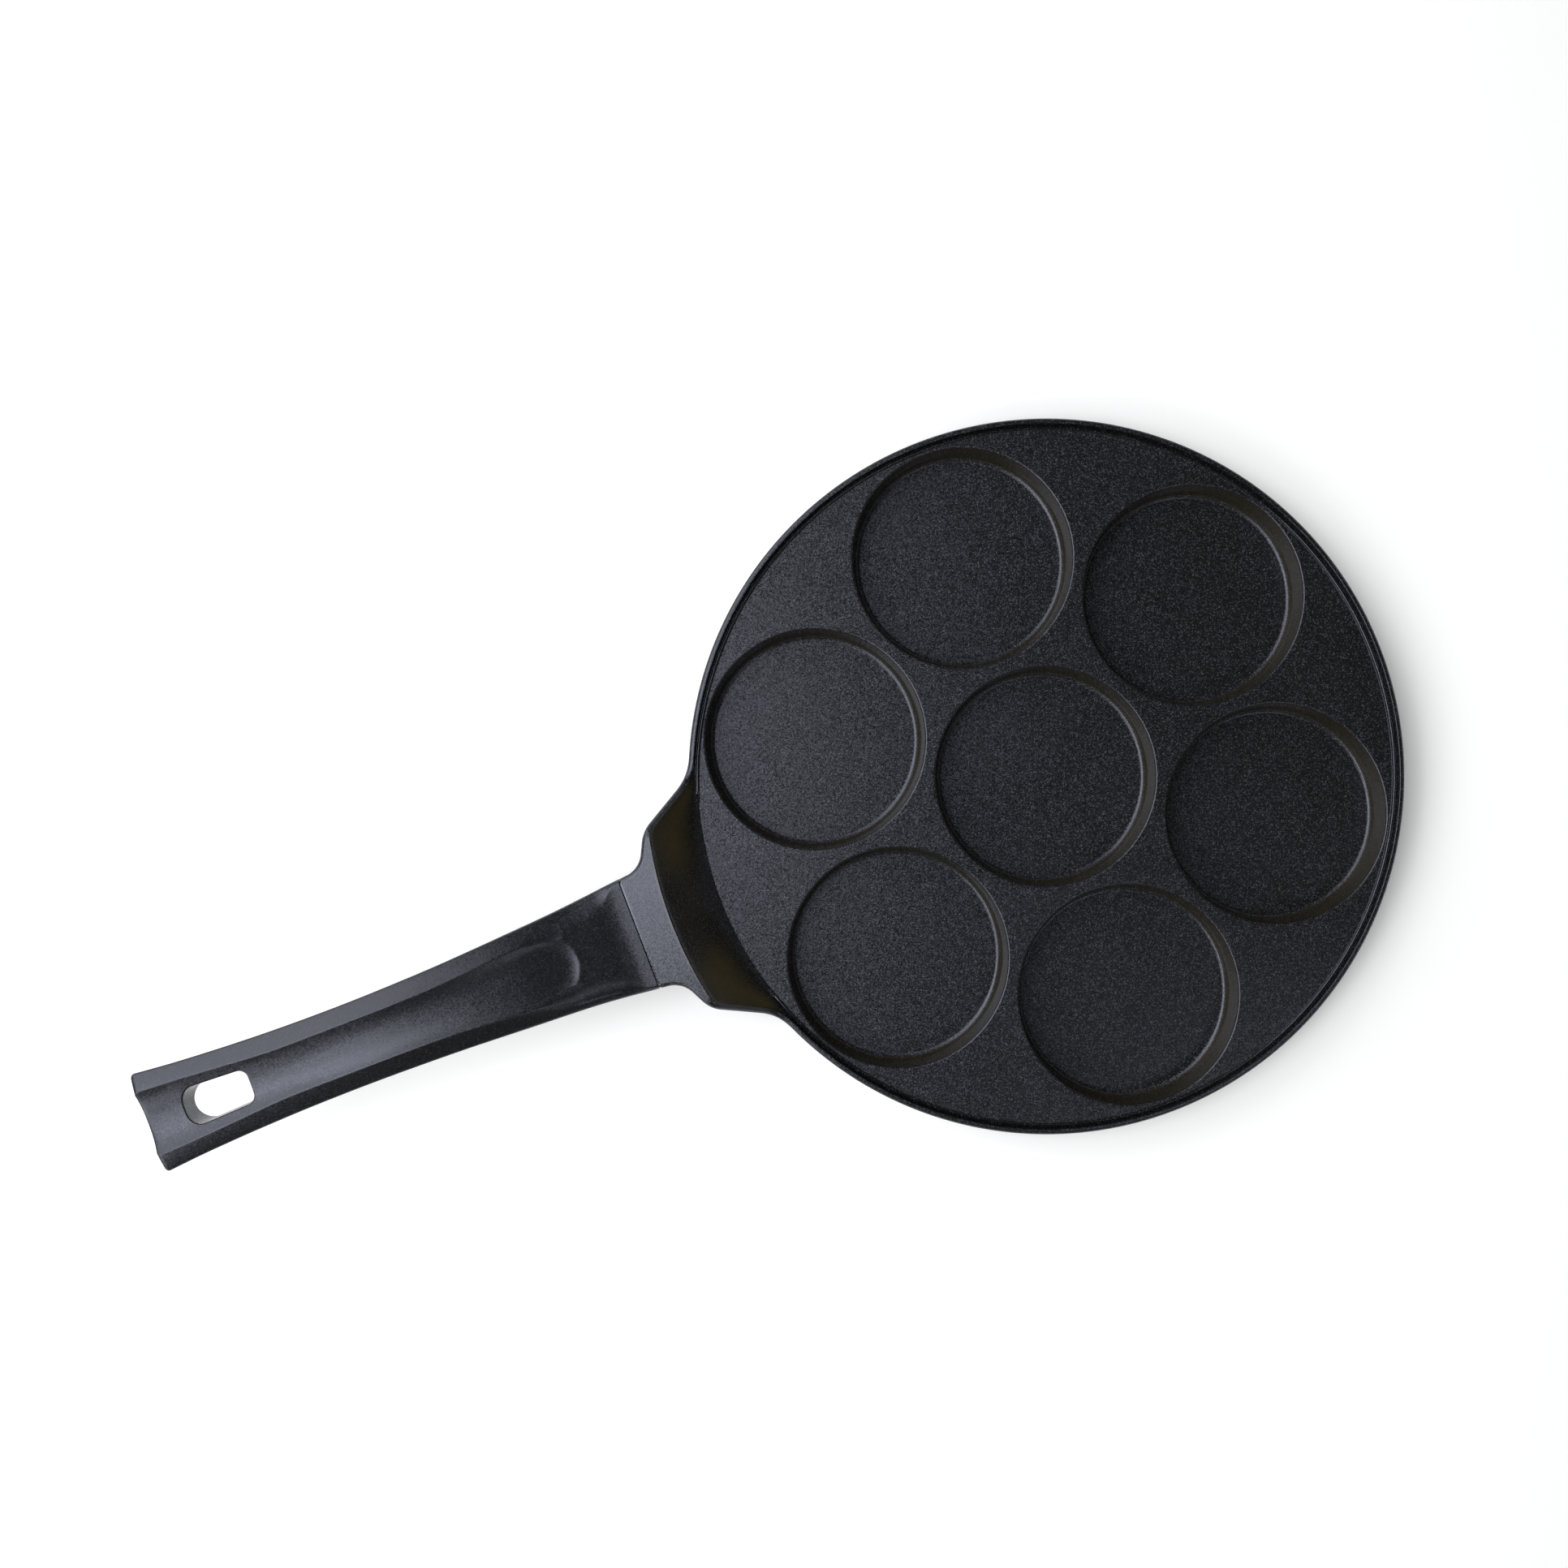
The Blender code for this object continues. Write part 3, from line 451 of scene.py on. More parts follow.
class ShaderTree:
    """The nodes of one material."""

    def __init__(self, name: str) -> None:
        """Make a material with a Principled shader.

        Args:
            name: Name of the material.
        """
        self.material = bpy.data.materials.new(name)
        self.material.use_nodes = True
        self.nodes = self.material.node_tree.nodes
        self.links = self.material.node_tree.links
        self.shader = self.nodes["Principled BSDF"]

    def feed(self, socket: bpy.types.NodeSocket, value: object) -> None:
        """Link a value to a socket, or set it there.

        Args:
            socket: Input of a node.
            value: Value, number, vector or colour.
        """
        if isinstance(value, Value):
            self.links.new(value.socket, socket)
        else:
            socket.default_value = (*value, 1.0) if socket.type == "RGBA" else value

    def node(
        self,
        kind: str,
        settings: dict[str, object] | None = None,
        sockets: dict[int | str, object] | None = None,
        output: int | str = 0,
    ) -> Value:
        """Add a node.

        Args:
            kind: Type of the node.
            settings: Its properties, set before its sockets.
            sockets: Values or links of its inputs.
            output: Output that is wanted.

        Returns:
            The wanted output.
        """
        made = self.nodes.new(kind)
        for label, value in (settings or {}).items():
            setattr(made, label, value)
        for key, value in (sockets or {}).items():
            self.feed(made.inputs[key], value)
        return Value(self, made.outputs[output])

    def vector(self, operation: str, sockets: dict[int | str, object], output: str = "Vector") -> Value:
        """Result of a Vector Math node."""
        return self.node("ShaderNodeVectorMath", {"operation": operation}, sockets, output)

    def place(self) -> Value:
        """Object coordinates."""
        return self.node("ShaderNodeTexCoord", output="Object")

    def stretched(self, where: Value, scale: Point) -> Value:
        """Coordinates scaled along each axis."""
        return self.node("ShaderNodeMapping", {}, {"Vector": where, "Scale": scale})

    def noise(self, where: Value, size: float, detail: float = 2.0, rough: float = 0.5) -> Value:
        """Soft noise whose features have about the given size in metres."""
        sockets = {"Vector": where, "Scale": 1.0 / size, "Detail": detail, "Roughness": rough}
        return self.node("ShaderNodeTexNoise", {}, sockets)

    def grains(self, where: Value, size: float) -> Value:
        """Random colour in every cell of about the given size in metres."""
        return self.node("ShaderNodeTexVoronoi", {}, {"Vector": where, "Scale": 1.0 / size}, "Color")

    def cells(self, where: Value, size: float) -> Value:
        """Random number from 0 to 1 in every grain."""
        return self.node("ShaderNodeSeparateColor", {}, {0: self.grains(where, size)}, "Red")

    def flakes(self, where: Value, size: float, tilt: Value | float) -> Value:
        """Surface normal, tipped a little at random in every grain.

        Args:
            where: Coordinates.
            size: Size of a grain.
            tilt: How far the normals are tipped.

        Returns:
            The normal.
        """
        tips = self.vector("SUBTRACT", {0: self.grains(where, size), 1: (0.5, 0.5, 0.5)})
        offset = self.vector("SCALE", {0: tips, "Scale": tilt})
        normal = self.node("ShaderNodeNewGeometry", output="Normal")
        return self.vector("NORMALIZE", {0: self.vector("ADD", {0: normal, 1: offset})})

    def painted(self, label: str) -> Value:
        """Value stored on the mesh under a name."""
        return self.node("ShaderNodeAttribute", {"attribute_name": label}, {}, "Fac")

    def blend(self, share: Value | float, first: object, second: object) -> Value:
        """Mix of two colours."""
        return self.node("ShaderNodeMix", {"data_type": "RGBA"}, {0: share, 6: first, 7: second}, 2)

    def shaded(self, share: Value, colour: Colour, gain: float) -> Value:
        """A colour that turns lighter or darker by a gain as the share goes from 0 to 1."""
        return self.blend(share, colour, tuple(channel * gain for channel in colour))

    def clouds(self, where: Value, size: float, colour: Colour, gain: float) -> Value:
        """A colour with soft clouds of it, lighter by a gain."""
        return self.shaded(self.noise(where, size, 3.0).between(0.3, 0.7), colour, gain)

    def seen(self) -> Value:
        """1 for rays from the eye, or off metal and gloss, and 0 for the light that falls on things.

        Returns:
            The 0 or 1.
        """
        rays = [f"Is {kind} Ray" for kind in ("Camera", "Glossy", "Transmission")]
        camera, glossy, through = (self.node("ShaderNodeLightPath", output=ray) for ray in rays)
        return self.node("ShaderNodeMath", {"operation": "MAXIMUM"}, {0: camera, 1: glossy + through})

    def relief(self, height: Value, depth: float, normal: Value | None = None) -> Value:
        """Bump.

        Args:
            height: Height from 0 to 1.
            depth: How tall it is, in metres.
            normal: Normal that the bump stands on, if not the surface's own.

        Returns:
            The bumped normal.
        """
        sockets = {"Height": height, "Distance": depth, "Strength": 1.0}
        return self.node("ShaderNodeBump", {}, sockets | ({"Normal": normal} if normal else {}))

    def dress(self, **values: object) -> Material:
        """Feed the shader and return the material.

        Args:
            values: Value of each socket, by its name with _ for a space.

        Returns:
            The material.
        """
        for label, value in values.items():
            self.feed(self.shader.inputs[label.replace("_", " ")], value)
        return self.material


@dataclass(frozen=True)
class CoatingFinish:
    """Dark non-stick coating over cast aluminium: fine orange peel with pale mineral flecks."""

    name: str = "speckled_nonstick"
    dark: Colour = (0.0050, 0.0050, 0.0054)
    fleck: Colour = (0.075, 0.078, 0.088)
    # painted reflection: brownish olive that stands in for reflected light on the bracket's cone and the well
    # walls
    reflection_colour: Colour = (0.0540, 0.0430, 0.0175)
    sheen: Colour = (0.80, 0.83, 1.0)
    cloud_size: float = 38.0 * MM
    cloud_gain: float = 1.18
    reflection_gain: float = 0.6
    fleck_size: float = 0.31 * MM
    fleck_share: float = 0.6
    flake_tilt: float = 0.10
    polished_tilt: float = 0.15
    peel_size: float = 0.90 * MM
    peel_depth: float = 0.030 * MM
    smudge_size: float = 55.0 * MM
    smudge_rough: float = 0.04
    roughness: float = 0.29
    rough_spread: float = 0.22
    smooth_wall: float = 0.15
    specular: float = 0.60

    def material(self) -> Material:
        """Build the material.

        Returns:
            The coating: sparkling and speckled, or smooth and coloured by a painted brownish reflection with
                painted shade, where the mesh says so.
        """
        tree = ShaderTree(self.name)
        where = tree.place()
        cells = tree.cells(where, self.fleck_size)
        flecks = cells.between(0.80, 1.0) * self.fleck_share
        ground = tree.clouds(where, self.cloud_size, self.dark, self.cloud_gain)
        speckled = tree.blend(flecks, ground, self.fleck)
        # painted reflection colour, a little lighter or darker grain by grain
        reflection_tone = tree.shaded(cells, self.reflection_colour, self.reflection_gain)
        peel = tree.noise(where, self.peel_size, 2.0, 0.55)
        smudge = tree.noise(where, self.smudge_size, 4.0, 0.6).between(0.3, 0.75)
        worn = smudge * self.smudge_rough + (cells - 0.5) * self.rough_spread
        polish = tree.painted("polish")
        tilt = (1.0 - polish * (1.0 - self.polished_tilt)) * self.flake_tilt
        return tree.dress(
            # the share stored on the mesh mixes in the painted reflection and its painted shade
            Base_Color=tree.blend(tree.painted("painted_reflection"), speckled, reflection_tone),
            Roughness=worn * (1.0 - polish) - polish * self.smooth_wall + self.roughness,
            Specular_IOR_Level=self.specular,
            Specular_Tint=self.sheen,
            Normal=tree.relief(peel, self.peel_depth, tree.flakes(where, self.fleck_size, tilt)),
        )


@dataclass(frozen=True)
class ResinFinish:
    """Moulded handle resin with an even spark-eroded grain; hole walls are smooth and streaky."""

    name: str = "grained_resin"
    dark: Colour = (0.0060, 0.0060, 0.0064)
    fleck: Colour = (0.040, 0.041, 0.047)
    sheen: Colour = (0.80, 0.83, 1.0)
    cloud_size: float = 30.0 * MM
    cloud_gain: float = 1.14
    fleck_share: float = 0.35
    flake_tilt: float = 0.08
    grain_size: float = 0.36 * MM
    grain_depth: float = 0.026 * MM
    streak_size: float = 1.1 * MM
    streak_share: float = 0.35
    streak_height: float = 0.15
    roughness: float = 0.268
    rough_spread: float = 0.14
    moulded_rough: float = 0.06
    specular: float = 0.57

    def material(self) -> Material:
        """Build the material.

        Returns:
            The resin.
        """
        tree = ShaderTree(self.name)
        where = tree.place()
        polish = tree.painted("polish")
        moulded = 1.0 - polish
        cells = tree.cells(where, self.grain_size)
        flecks = cells.between(0.90, 1.0) * moulded * self.fleck_share
        ground = tree.clouds(where, self.cloud_size, self.dark, self.cloud_gain)
        flow = tree.noise(tree.stretched(where, (1.0, 1.0, 0.08)), self.streak_size, 3.0)
        streaks = flow.between(0.35, 0.7) * polish
        colour = tree.blend(streaks * self.streak_share, tree.blend(flecks, ground, self.fleck), self.fleck)
        height = tree.noise(where, self.grain_size * 2.0, 2.0, 0.55) * moulded + streaks * self.streak_height
        flakes = tree.flakes(where, self.grain_size, self.flake_tilt)
        return tree.dress(
            Base_Color=colour,
            Roughness=(cells - 0.5) * self.rough_spread + moulded * self.moulded_rough + self.roughness,
            Specular_IOR_Level=self.specular,
            Specular_Tint=self.sheen,
            Normal=tree.relief(height, self.grain_depth, flakes),
        )


@dataclass(frozen=True)
class MetalFinish:
    """Bare metal between a light and a dull colour."""

    name: str
    light: Colour
    dull: Colour
    roughness: float
    depth: float

    def pattern(self, tree: ShaderTree, where: Value) -> tuple[Value, Value, Value]:
        """Pattern of the metal.

        Args:
            tree: Nodes of the material.
            where: Coordinates.

        Returns:
            Share of the dull colour, added roughness, and height of the relief.
        """
        raise NotImplementedError

    def material(self) -> Material:
        """Build the material.

        Returns:
            The metal.
        """
        tree = ShaderTree(self.name)
        share, rough, height = self.pattern(tree, tree.place())
        return tree.dress(
            Base_Color=tree.blend(share, self.light, self.dull),
            Metallic=1.0,
            Roughness=rough + self.roughness,
            Normal=tree.relief(height, self.depth),
        )


@dataclass(frozen=True)
class TurnedSteelFinish(MetalFinish):
    """Stainless steel turned on a lathe about the pan's axis."""

    name: str = "turned_steel"
    light: Colour = (0.60, 0.59, 0.57)
    dull: Colour = (0.44, 0.43, 0.42)
    roughness: float = 0.22
    depth: float = 0.012 * MM
    groove: float = 0.55 * MM
    stain_size: float = 26.0 * MM

    def pattern(self, tree: ShaderTree, where: Value) -> tuple[Value, Value, Value]:
        """Fine rings about the axis, with a few stains.

        Args:
            tree: Nodes of the material.
            where: Coordinates.

        Returns:
            Share of the dull colour, added roughness, and height of the relief.
        """
        radius = tree.vector("LENGTH", {0: tree.stretched(where, (1.0, 1.0, 0.0))}, "Value")
        rings = (radius * (2.0 * math.pi / self.groove)).sine() * 0.5 + 0.5
        fine = tree.noise(tree.node("ShaderNodeCombineXYZ", {}, {0: radius}), 0.35 * MM, 3.0, 0.6)
        stain = tree.noise(where, self.stain_size, 4.0, 0.6).between(0.45, 0.8)
        return fine * 0.5 + stain * 0.4, fine * 0.14 + stain * 0.10, rings * 0.5 + fine * 0.5


@dataclass(frozen=True)
class BareCastFinish(MetalFinish):
    """Bare cast aluminium where the studs are turned flush with the base."""

    name: str = "bare_cast"
    light: Colour = (0.62, 0.62, 0.63)
    dull: Colour = (0.42, 0.42, 0.43)
    roughness: float = 0.28
    depth: float = 0.015 * MM

    def pattern(self, tree: ShaderTree, where: Value) -> tuple[Value, Value, Value]:
        """Small pores under a faint bloom.

        Args:
            tree: Nodes of the material.
            where: Coordinates.

        Returns:
            Share of the dull colour, added roughness, and height of the relief.
        """
        pores = tree.noise(where, 0.6 * MM, 3.0, 0.6)
        bloom = tree.noise(where, 9.0 * MM, 3.0)
        return pores.between(0.4, 0.7) * 0.6 + bloom * 0.3, pores * 0.2, pores


@dataclass(frozen=True)
class PlatedSteelFinish(MetalFinish):
    """Bright zinc-plated screw steel."""

    name: str = "plated_steel"
    light: Colour = (0.66, 0.66, 0.64)
    dull: Colour = (0.40, 0.41, 0.40)
    roughness: float = 0.16
    depth: float = 0.006 * MM

    def pattern(self, tree: ShaderTree, where: Value) -> tuple[Value, Value, Value]:
        """Cloudy bloom with scuffs along one way.

        Args:
            tree: Nodes of the material.
            where: Coordinates.

        Returns:
            Share of the dull colour, added roughness, and height of the relief.
        """
        bloom = tree.noise(where, 2.2 * MM, 4.0, 0.6)
        scuffs = tree.noise(tree.stretched(where, (1.0, 0.15, 1.0)), 0.3 * MM, 2.0)
        return bloom.between(0.4, 0.75) * 0.6, bloom * 0.16 + scuffs * 0.10, bloom * 0.6 + scuffs * 0.4


@dataclass
class Bracket:
    """Plan of the bracket that carries the handle."""

    neck_half: float = 20.6 * MM
    neck_length: float = 8.1 * MM
    neck_flare: float = 0.8 * MM
    shoulder_back: float = 14.0 * MM
    shoulder_half: float = 33.3 * MM
    neck_fillet: float = 9.2 * MM
    shoulder_fillet: float = 14.0 * MM
    wing_angle: float = math.radians(32.2)
    wing_fillet: float = 22.0 * MM
    arc_steps: int = 16

    def side(self) -> list[Vector]:
        """Outline on the +Y side.

        Returns:
            Plan points from the seam's corner to the disc's circle.
        """
        corner = Vector((SEAM_X, self.neck_half))
        neck = Vector((SEAM_X - self.neck_length, self.neck_half + self.neck_flare))
        shoulder = Vector((SEAM_X - self.shoulder_back, self.shoulder_half))
        along = Vector((-math.cos(self.wing_angle), math.sin(self.wing_angle)))
        outward = Vector((math.sin(self.wing_angle), math.cos(self.wing_angle)))
        reach = DISC_RADIUS + self.wing_fillet
        facing = math.atan2(outward.y, outward.x)
        centre = heading(facing - math.acos((outward.dot(shoulder) + self.wing_fillet) / reach)) * reach
        points = [corner, *(corner.lerp(neck, share) for share in (0.04, 0.10, 0.2))]
        before, after = corner * 2.0 - neck, shoulder * 2.0 - neck
        points += arc_round(before, neck, after, self.neck_fillet, self.arc_steps)
        before, after = neck * 2.0 - shoulder, shoulder + along * 0.1
        points += arc_round(before, shoulder, after, self.shoulder_fillet, self.arc_steps)
        wing_start = centre - outward * self.wing_fillet
        last = points[-1].copy()
        points += [last.lerp(wing_start, step / 6.0) for step in range(1, 6)]
        for step in range(self.arc_steps + 1):
            arm = (-outward).slerp(-centre.normalized(), step / self.arc_steps)
            points.append(centre + arm * self.wing_fillet)
        return points


@dataclass
class Wells:
    """The seven wells: one in the middle and a ring of six."""

    radius: float = 40.13 * MM
    foot_radius: float = 38.61 * MM
    depth: float = 12.0 * MM
    lip: float = 0.7 * MM
    floor_fillet: float = 1.9 * MM
    # painted reflection of brownish light on the well walls
    wall_painted_reflection: float = 0.45
    ring_radius: float = 85.0 * MM
    ring_count: int = 6
    support: float = 0.08 * MM
    sides: int = 144

    def centres(self) -> list[Plan]:
        """Places of the wells, with the handle between two of the ring."""
        return [(0.0, 0.0), *ring_places(self.ring_radius, self.ring_count, shift=0.5)]

    def profile(self) -> tuple[list[Plan], list[float]]:
        """Section of a well from the plate inwards.

        Returns:
            (radius, height) points, and the share of painted reflection at each.
        """
        floor = PLATE_HEIGHT - self.depth
        outside = Vector((self.radius + 4.0 * MM, PLATE_HEIGHT))
        top = Vector((self.radius, PLATE_HEIGHT))
        foot = Vector((self.foot_radius, floor))
        lip = arc_round(outside, top, foot, self.lip, 6)
        fillet = arc_round(top, foot, Vector((20.0 * MM, floor)), self.floor_fillet, 9)
        points = [Vector((lip[0].x + self.support, PLATE_HEIGHT)), *lip]
        points += [lip[-1].lerp(fillet[0], share) for share in (0.06, 0.35, 0.65, 0.94)]
        points += [*fillet, fillet[-1] - Vector((self.support, 0.0))]
        points += [Vector((radius * MM, floor)) for radius in (33.0, 25.0, 15.0, 5.0)]
        # painted reflection on the walls, fading out towards the floor and the lip
        painted_reflections = []
        for point in points:
            rise = (point.y - floor) / self.depth
            painted_reflections.append(self.wall_painted_reflection * ease(0.0, 0.12, rise) * (1.0 - ease(0.90, 1.0, rise)))
        return [(point.x, point.y) for point in points], painted_reflections

    def add_to(self, skin: Skin) -> list[list[int]]:
        """Add every well to a skin.

        Args:
            skin: Skin of the body.

        Returns:
            The plate-level ring of each well.
        """
        points, painted_reflections = self.profile()
        openings = []
        for centre in self.centres():
            rings = skin.turn(points, self.sides, centre, painted_reflections)
            skin.fan(rings[-1], (*centre, points[-1][1]))
            openings.append(rings[0])
        return openings


@dataclass
class PanBody:
    """Cast body: plate and wells, stepped rim, handle bracket with its tenon, and base."""

    bracket: Bracket = field(default_factory=Bracket)
    wells: Wells = field(default_factory=Wells)
    plate_edge: float = 126.15 * MM
    plate_support: float = 0.22 * MM
    bead: Curve = ((126.42 * MM, 17.72 * MM), (126.75 * MM, 17.95 * MM), (127.08 * MM, 17.72 * MM))
    groove: Curve = ((127.32 * MM, 17.0 * MM), (127.58 * MM, 17.0 * MM))
    ledge_outer: float = 127.70 * MM
    ledge_height: float = 18.0 * MM
    step_rounds: tuple[float, ...] = (0.2, 0.3, 0.3, 0.2, 0.1, 0.1, 0.12)
    rim_height: float = 19.8 * MM
    rim_wall: float = 2.0 * MM
    edge_round: float = 1.5 * MM
    wall_draft: float = 0.203
    chine_height: float = 6.0 * MM
    base_radius: float = 119.5 * MM
    crest_radius: float = 144.0 * MM
    crest_height: float = 38.0 * MM
    crest_blend: float = 1.2 * MM
    cone_slope: float = 20.0 / 16.3
    top_fall: float = 0.12
    wing_thickness: float = 9.4 * MM
    lug_foot: float = 8.4 * MM
    lug_slope: float = 0.35
    lug_start: float = math.radians(8.5)
    lug_end: float = math.radians(14.0)
    lug_squareness: float = 5.0
    recess_radius: float = 95.3 * MM
    recess_depth: float = 1.3 * MM
    seam_chamfer: float = 0.45 * MM
    seam_slope: float = 0.09
    seam_middle: float = 26.0 * MM
    seam_half_height: float = 10.5 * MM
    disc_step: float = math.radians(1.5)
    seam_shares: tuple[float, ...] = (
        0.0, 0.11, 0.22, 0.33, 0.44, 0.55, 0.65, 0.74, 0.82, 0.88, 0.93, 0.97, 1.0,
    )
    wall_insets: tuple[float, ...] = (0.004, 0.015, 0.04, 0.09, 0.18, 0.32, 0.52, 0.8, 1.15, 1.55, 2.0)
    under_shares: tuple[float, ...] = (0.0, 0.1, 0.22, 0.36, 0.5, 0.65, 0.8, 0.92)
    tenon: Bar = Bar(156.3 * MM, 178.5 * MM, 12.5 * MM, 24.0 * MM, 32.4 * MM, 2.0 * MM)

    def __post_init__(self) -> None:
        """Work out the outline once."""
        self.side = self.bracket.side()
        self.wing_end = math.atan2(self.side[-1].y, self.side[-1].x)
        self.starts = np.array([[p.x, p.y] for p in self.side[:-1]])
        self.runs = np.array([[p.x, p.y] for p in self.side[1:]]) - self.starts
        self.lengths = (self.runs**2).sum(axis=1)

    def cone(self, radius: float) -> float:
        """Height of the bracket's inner face, a cone about the pan's centre."""
        return self.ledge_height + (radius - self.ledge_outer) * self.cone_slope

    def inset(self, x: float, y: float) -> float:
        """Distance from a place to the bracket's side edge.

        Args:
            x: Place along the handle.
            y: Place across it.

        Returns:
            The distance.
        """
        point = np.array([x, abs(y)])
        share = ((point - self.starts) * self.runs).sum(axis=1) / self.lengths
        nearest = self.starts + self.runs * np.clip(share, 0.0, 1.0)[:, None]
        return float(np.sqrt(((point - nearest) ** 2).sum(axis=1)).min())

    def under(self, angle: float) -> tuple[float, float, float]:
        """Underside in one direction from the pan's centre.

        Args:
            angle: The direction.

        Returns:
            Share of wing, height at the disc's edge and slope.
        """
        wing = ease(self.lug_start, self.lug_end, abs(angle))
        foot = mix(self.lug_foot, self.cone(DISC_RADIUS) - self.wing_thickness, wing)
        return wing, foot, mix(self.lug_slope, self.cone_slope, wing)

    def underside(self, place: Vector, edge_height: float) -> Point:
        """Point of the bracket's underside.

        Args:
            place: Plan place.
            edge_height: Height where the outline's rounded edge ends.

        Returns:
            The point.
        """
        x, y = place
        radius = math.hypot(x, y)
        wing, foot, slope = self.under(math.atan2(y, x))
        plane = foot + slope * (radius - DISC_RADIUS)
        on_disc = abs(math.atan2(y, x)) >= self.wing_end
        inset = DISC_RADIUS - radius if on_disc else self.inset(x, y)
        share = min(inset / self.bracket.neck_half, 1.0)
        square = self.lug_squareness
        depth = (1.0 - (1.0 - share) ** square) ** (1.0 / square)
        lug = edge_height - (edge_height - plane) * depth
        skin = edge_height - inset / self.wall_draft
        if not on_disc:
            skin = soft_max(skin, plane, 1.0 * MM)
        return x, y, mix(lug, skin, wing)

    def column(self, edge: Vector, inward: Vector, seam: bool = False) -> list[tuple[Point, float]]:
        """Section of the body from the plate to the recess in its base.

        Args:
            edge: Plan place on the outline.
            inward: Plan direction into the pan there.
            seam: Whether the place is on the flat face that the handle meets.

        Returns:
            Points with their share of painted reflection.
        """
        wall = edge if seam else edge + inward * self.rim_wall
        angle = math.atan2(wall.y, wall.x)
        ray = heading(angle)
        reach = wall.length
        on_disc = math.atan2(edge.y, edge.x) >= self.wing_end - 1e-6
        crest, crest_height = reach, self.rim_height
        if not on_disc:
            crest = soft_min(self.crest_radius, reach, self.crest_blend)
            soft = self.crest_blend * ease(0.0, math.radians(4.0), self.wing_end - angle)
            crest_height = soft_max(self.rim_height, self.cone(crest), max(soft, 1e-6))
        risen = (crest_height - self.rim_height) / (self.crest_height - self.rim_height)
        calm = ease(0.0, 0.4, risen)
        # painted reflection on the bracket's cone, weaker on the handle's axis and stronger towards the wings
        reflection_share = min(risen * 5.0, 1.0) * mix(0.25, 1.0, ease(math.radians(3.0), math.radians(10.0), angle))

        def foot(radius: float, height: float) -> Vector:
            """Point of the stepped rim, which flows into the cone under the bracket."""
            return Vector((radius, mix(height, max(PLATE_HEIGHT, self.cone(radius)), calm)))

        def plan(along: float) -> Vector:
            """Plan place at a distance along the section."""
            beyond = wall if seam else wall - inward * (along - reach)
            return ray * along if along <= reach else beyond

        def level(along: float) -> float:
            """Height of the top face at a distance along the section."""
            return crest_height - self.top_fall * risen * (plan(along).length - crest)

        band_end = reach + self.rim_wall - self.edge_round
        corners = [
            Vector((self.plate_edge - 2.0 * MM, PLATE_HEIGHT)),
            Vector((self.plate_edge, PLATE_HEIGHT)),
            *(foot(*place) for place in self.bead + self.groove),
            Vector((self.ledge_outer, self.ledge_height)),
            Vector((crest, crest_height)),
            Vector((band_end, level(band_end))),
        ]
        radii = [*self.step_rounds, mix(0.5, 0.7, min(risen * 3.0, 1.0))]
        top = len(radii)
        profile = [(self.plate_edge - self.plate_support, PLATE_HEIGHT, 0.0)]
        for index, radius in enumerate(radii, start=1):
            bend = arc_round(*corners[index - 1 : index + 2], radius * MM, 6 if index == top else 3)
            if index == top:
                last = Vector(profile[-1][:2])
                for share in (0.06, 0.25, 0.5, 0.75, 0.94):
                    place = last.lerp(bend[0], share)
                    # painted shade: the painted reflection starts dark at the cone's foot and grows lighter
                    # towards the crest
                    shade = ease(0.0, 0.5, share) * (1.0 - 0.4 * ease(0.6, 1.0, share))
                    profile.append((place.x, place.y, reflection_share * shade))
            profile += [(p.x, p.y, reflection_share * 0.4 if index == top else 0.0) for p in bend]
        start = profile[-1][0]
        stop = max(reach - self.seam_chamfer, start)
        flats = [mix(start, stop, share) for share in (0.08, 0.3, 0.55, 0.8, 0.97, 1.0)]
        flats += [max(along, start) for along in (reach, reach + 0.25 * MM, band_end)]
        profile += [(along, level(along), 0.0) for along in flats]
        points = [((*plan(along), height), painted_reflection) for along, height, painted_reflection in profile]
        for cosine, sine in quarter(8)[1:]:
            along = band_end + self.edge_round * sine
            drop = 0.0 if seam else self.edge_round * (1.0 - cosine)
            points.append(((*plan(along), level(along) - drop), 0.0))

        edge_height = level(reach + self.rim_wall) - self.edge_round
        _, low, slope = self.under(angle)
        lift = self.rim_height - self.edge_round
        meet = DISC_RADIUS + (lift - low) / (slope - 1.0 / self.wall_draft)
        room = max(edge.length - meet, 0.0)
        places = [edge if seam else edge + inward * min(inset * MM, room) for inset in self.wall_insets]
        near = max(places[-1].length - self.seam_chamfer, meet)
        places += [places[-1].normalized() * mix(near, meet, share) for share in self.under_shares]
        points += [(self.underside(place, edge_height), 0.0) for place in places]

        chine = DISC_RADIUS - self.wall_draft * (lift - self.chine_height)
        foot_radius, edge_in, depth = self.base_radius, self.recess_radius, self.recess_depth
        base = [(meet, lift + (meet - DISC_RADIUS) / self.wall_draft)]
        for cosine, sine in quarter(12):
            base.append((foot_radius + (chine - foot_radius) * cosine, self.chine_height * (1.0 - sine)))
        base += [(foot_radius - 0.6 * MM, 0.0), (edge_in + 0.5 * MM, 0.0), (edge_in + 0.2 * MM, 0.0)]
        base += [(edge_in, 0.2 * MM), (edge_in, depth), (edge_in - 0.4 * MM, depth)]
        base += [(radius * MM, depth) for radius in (60.0, 30.0, 8.0)]
        return points + [((*(ray * radius), height), 0.0) for radius, height in base]

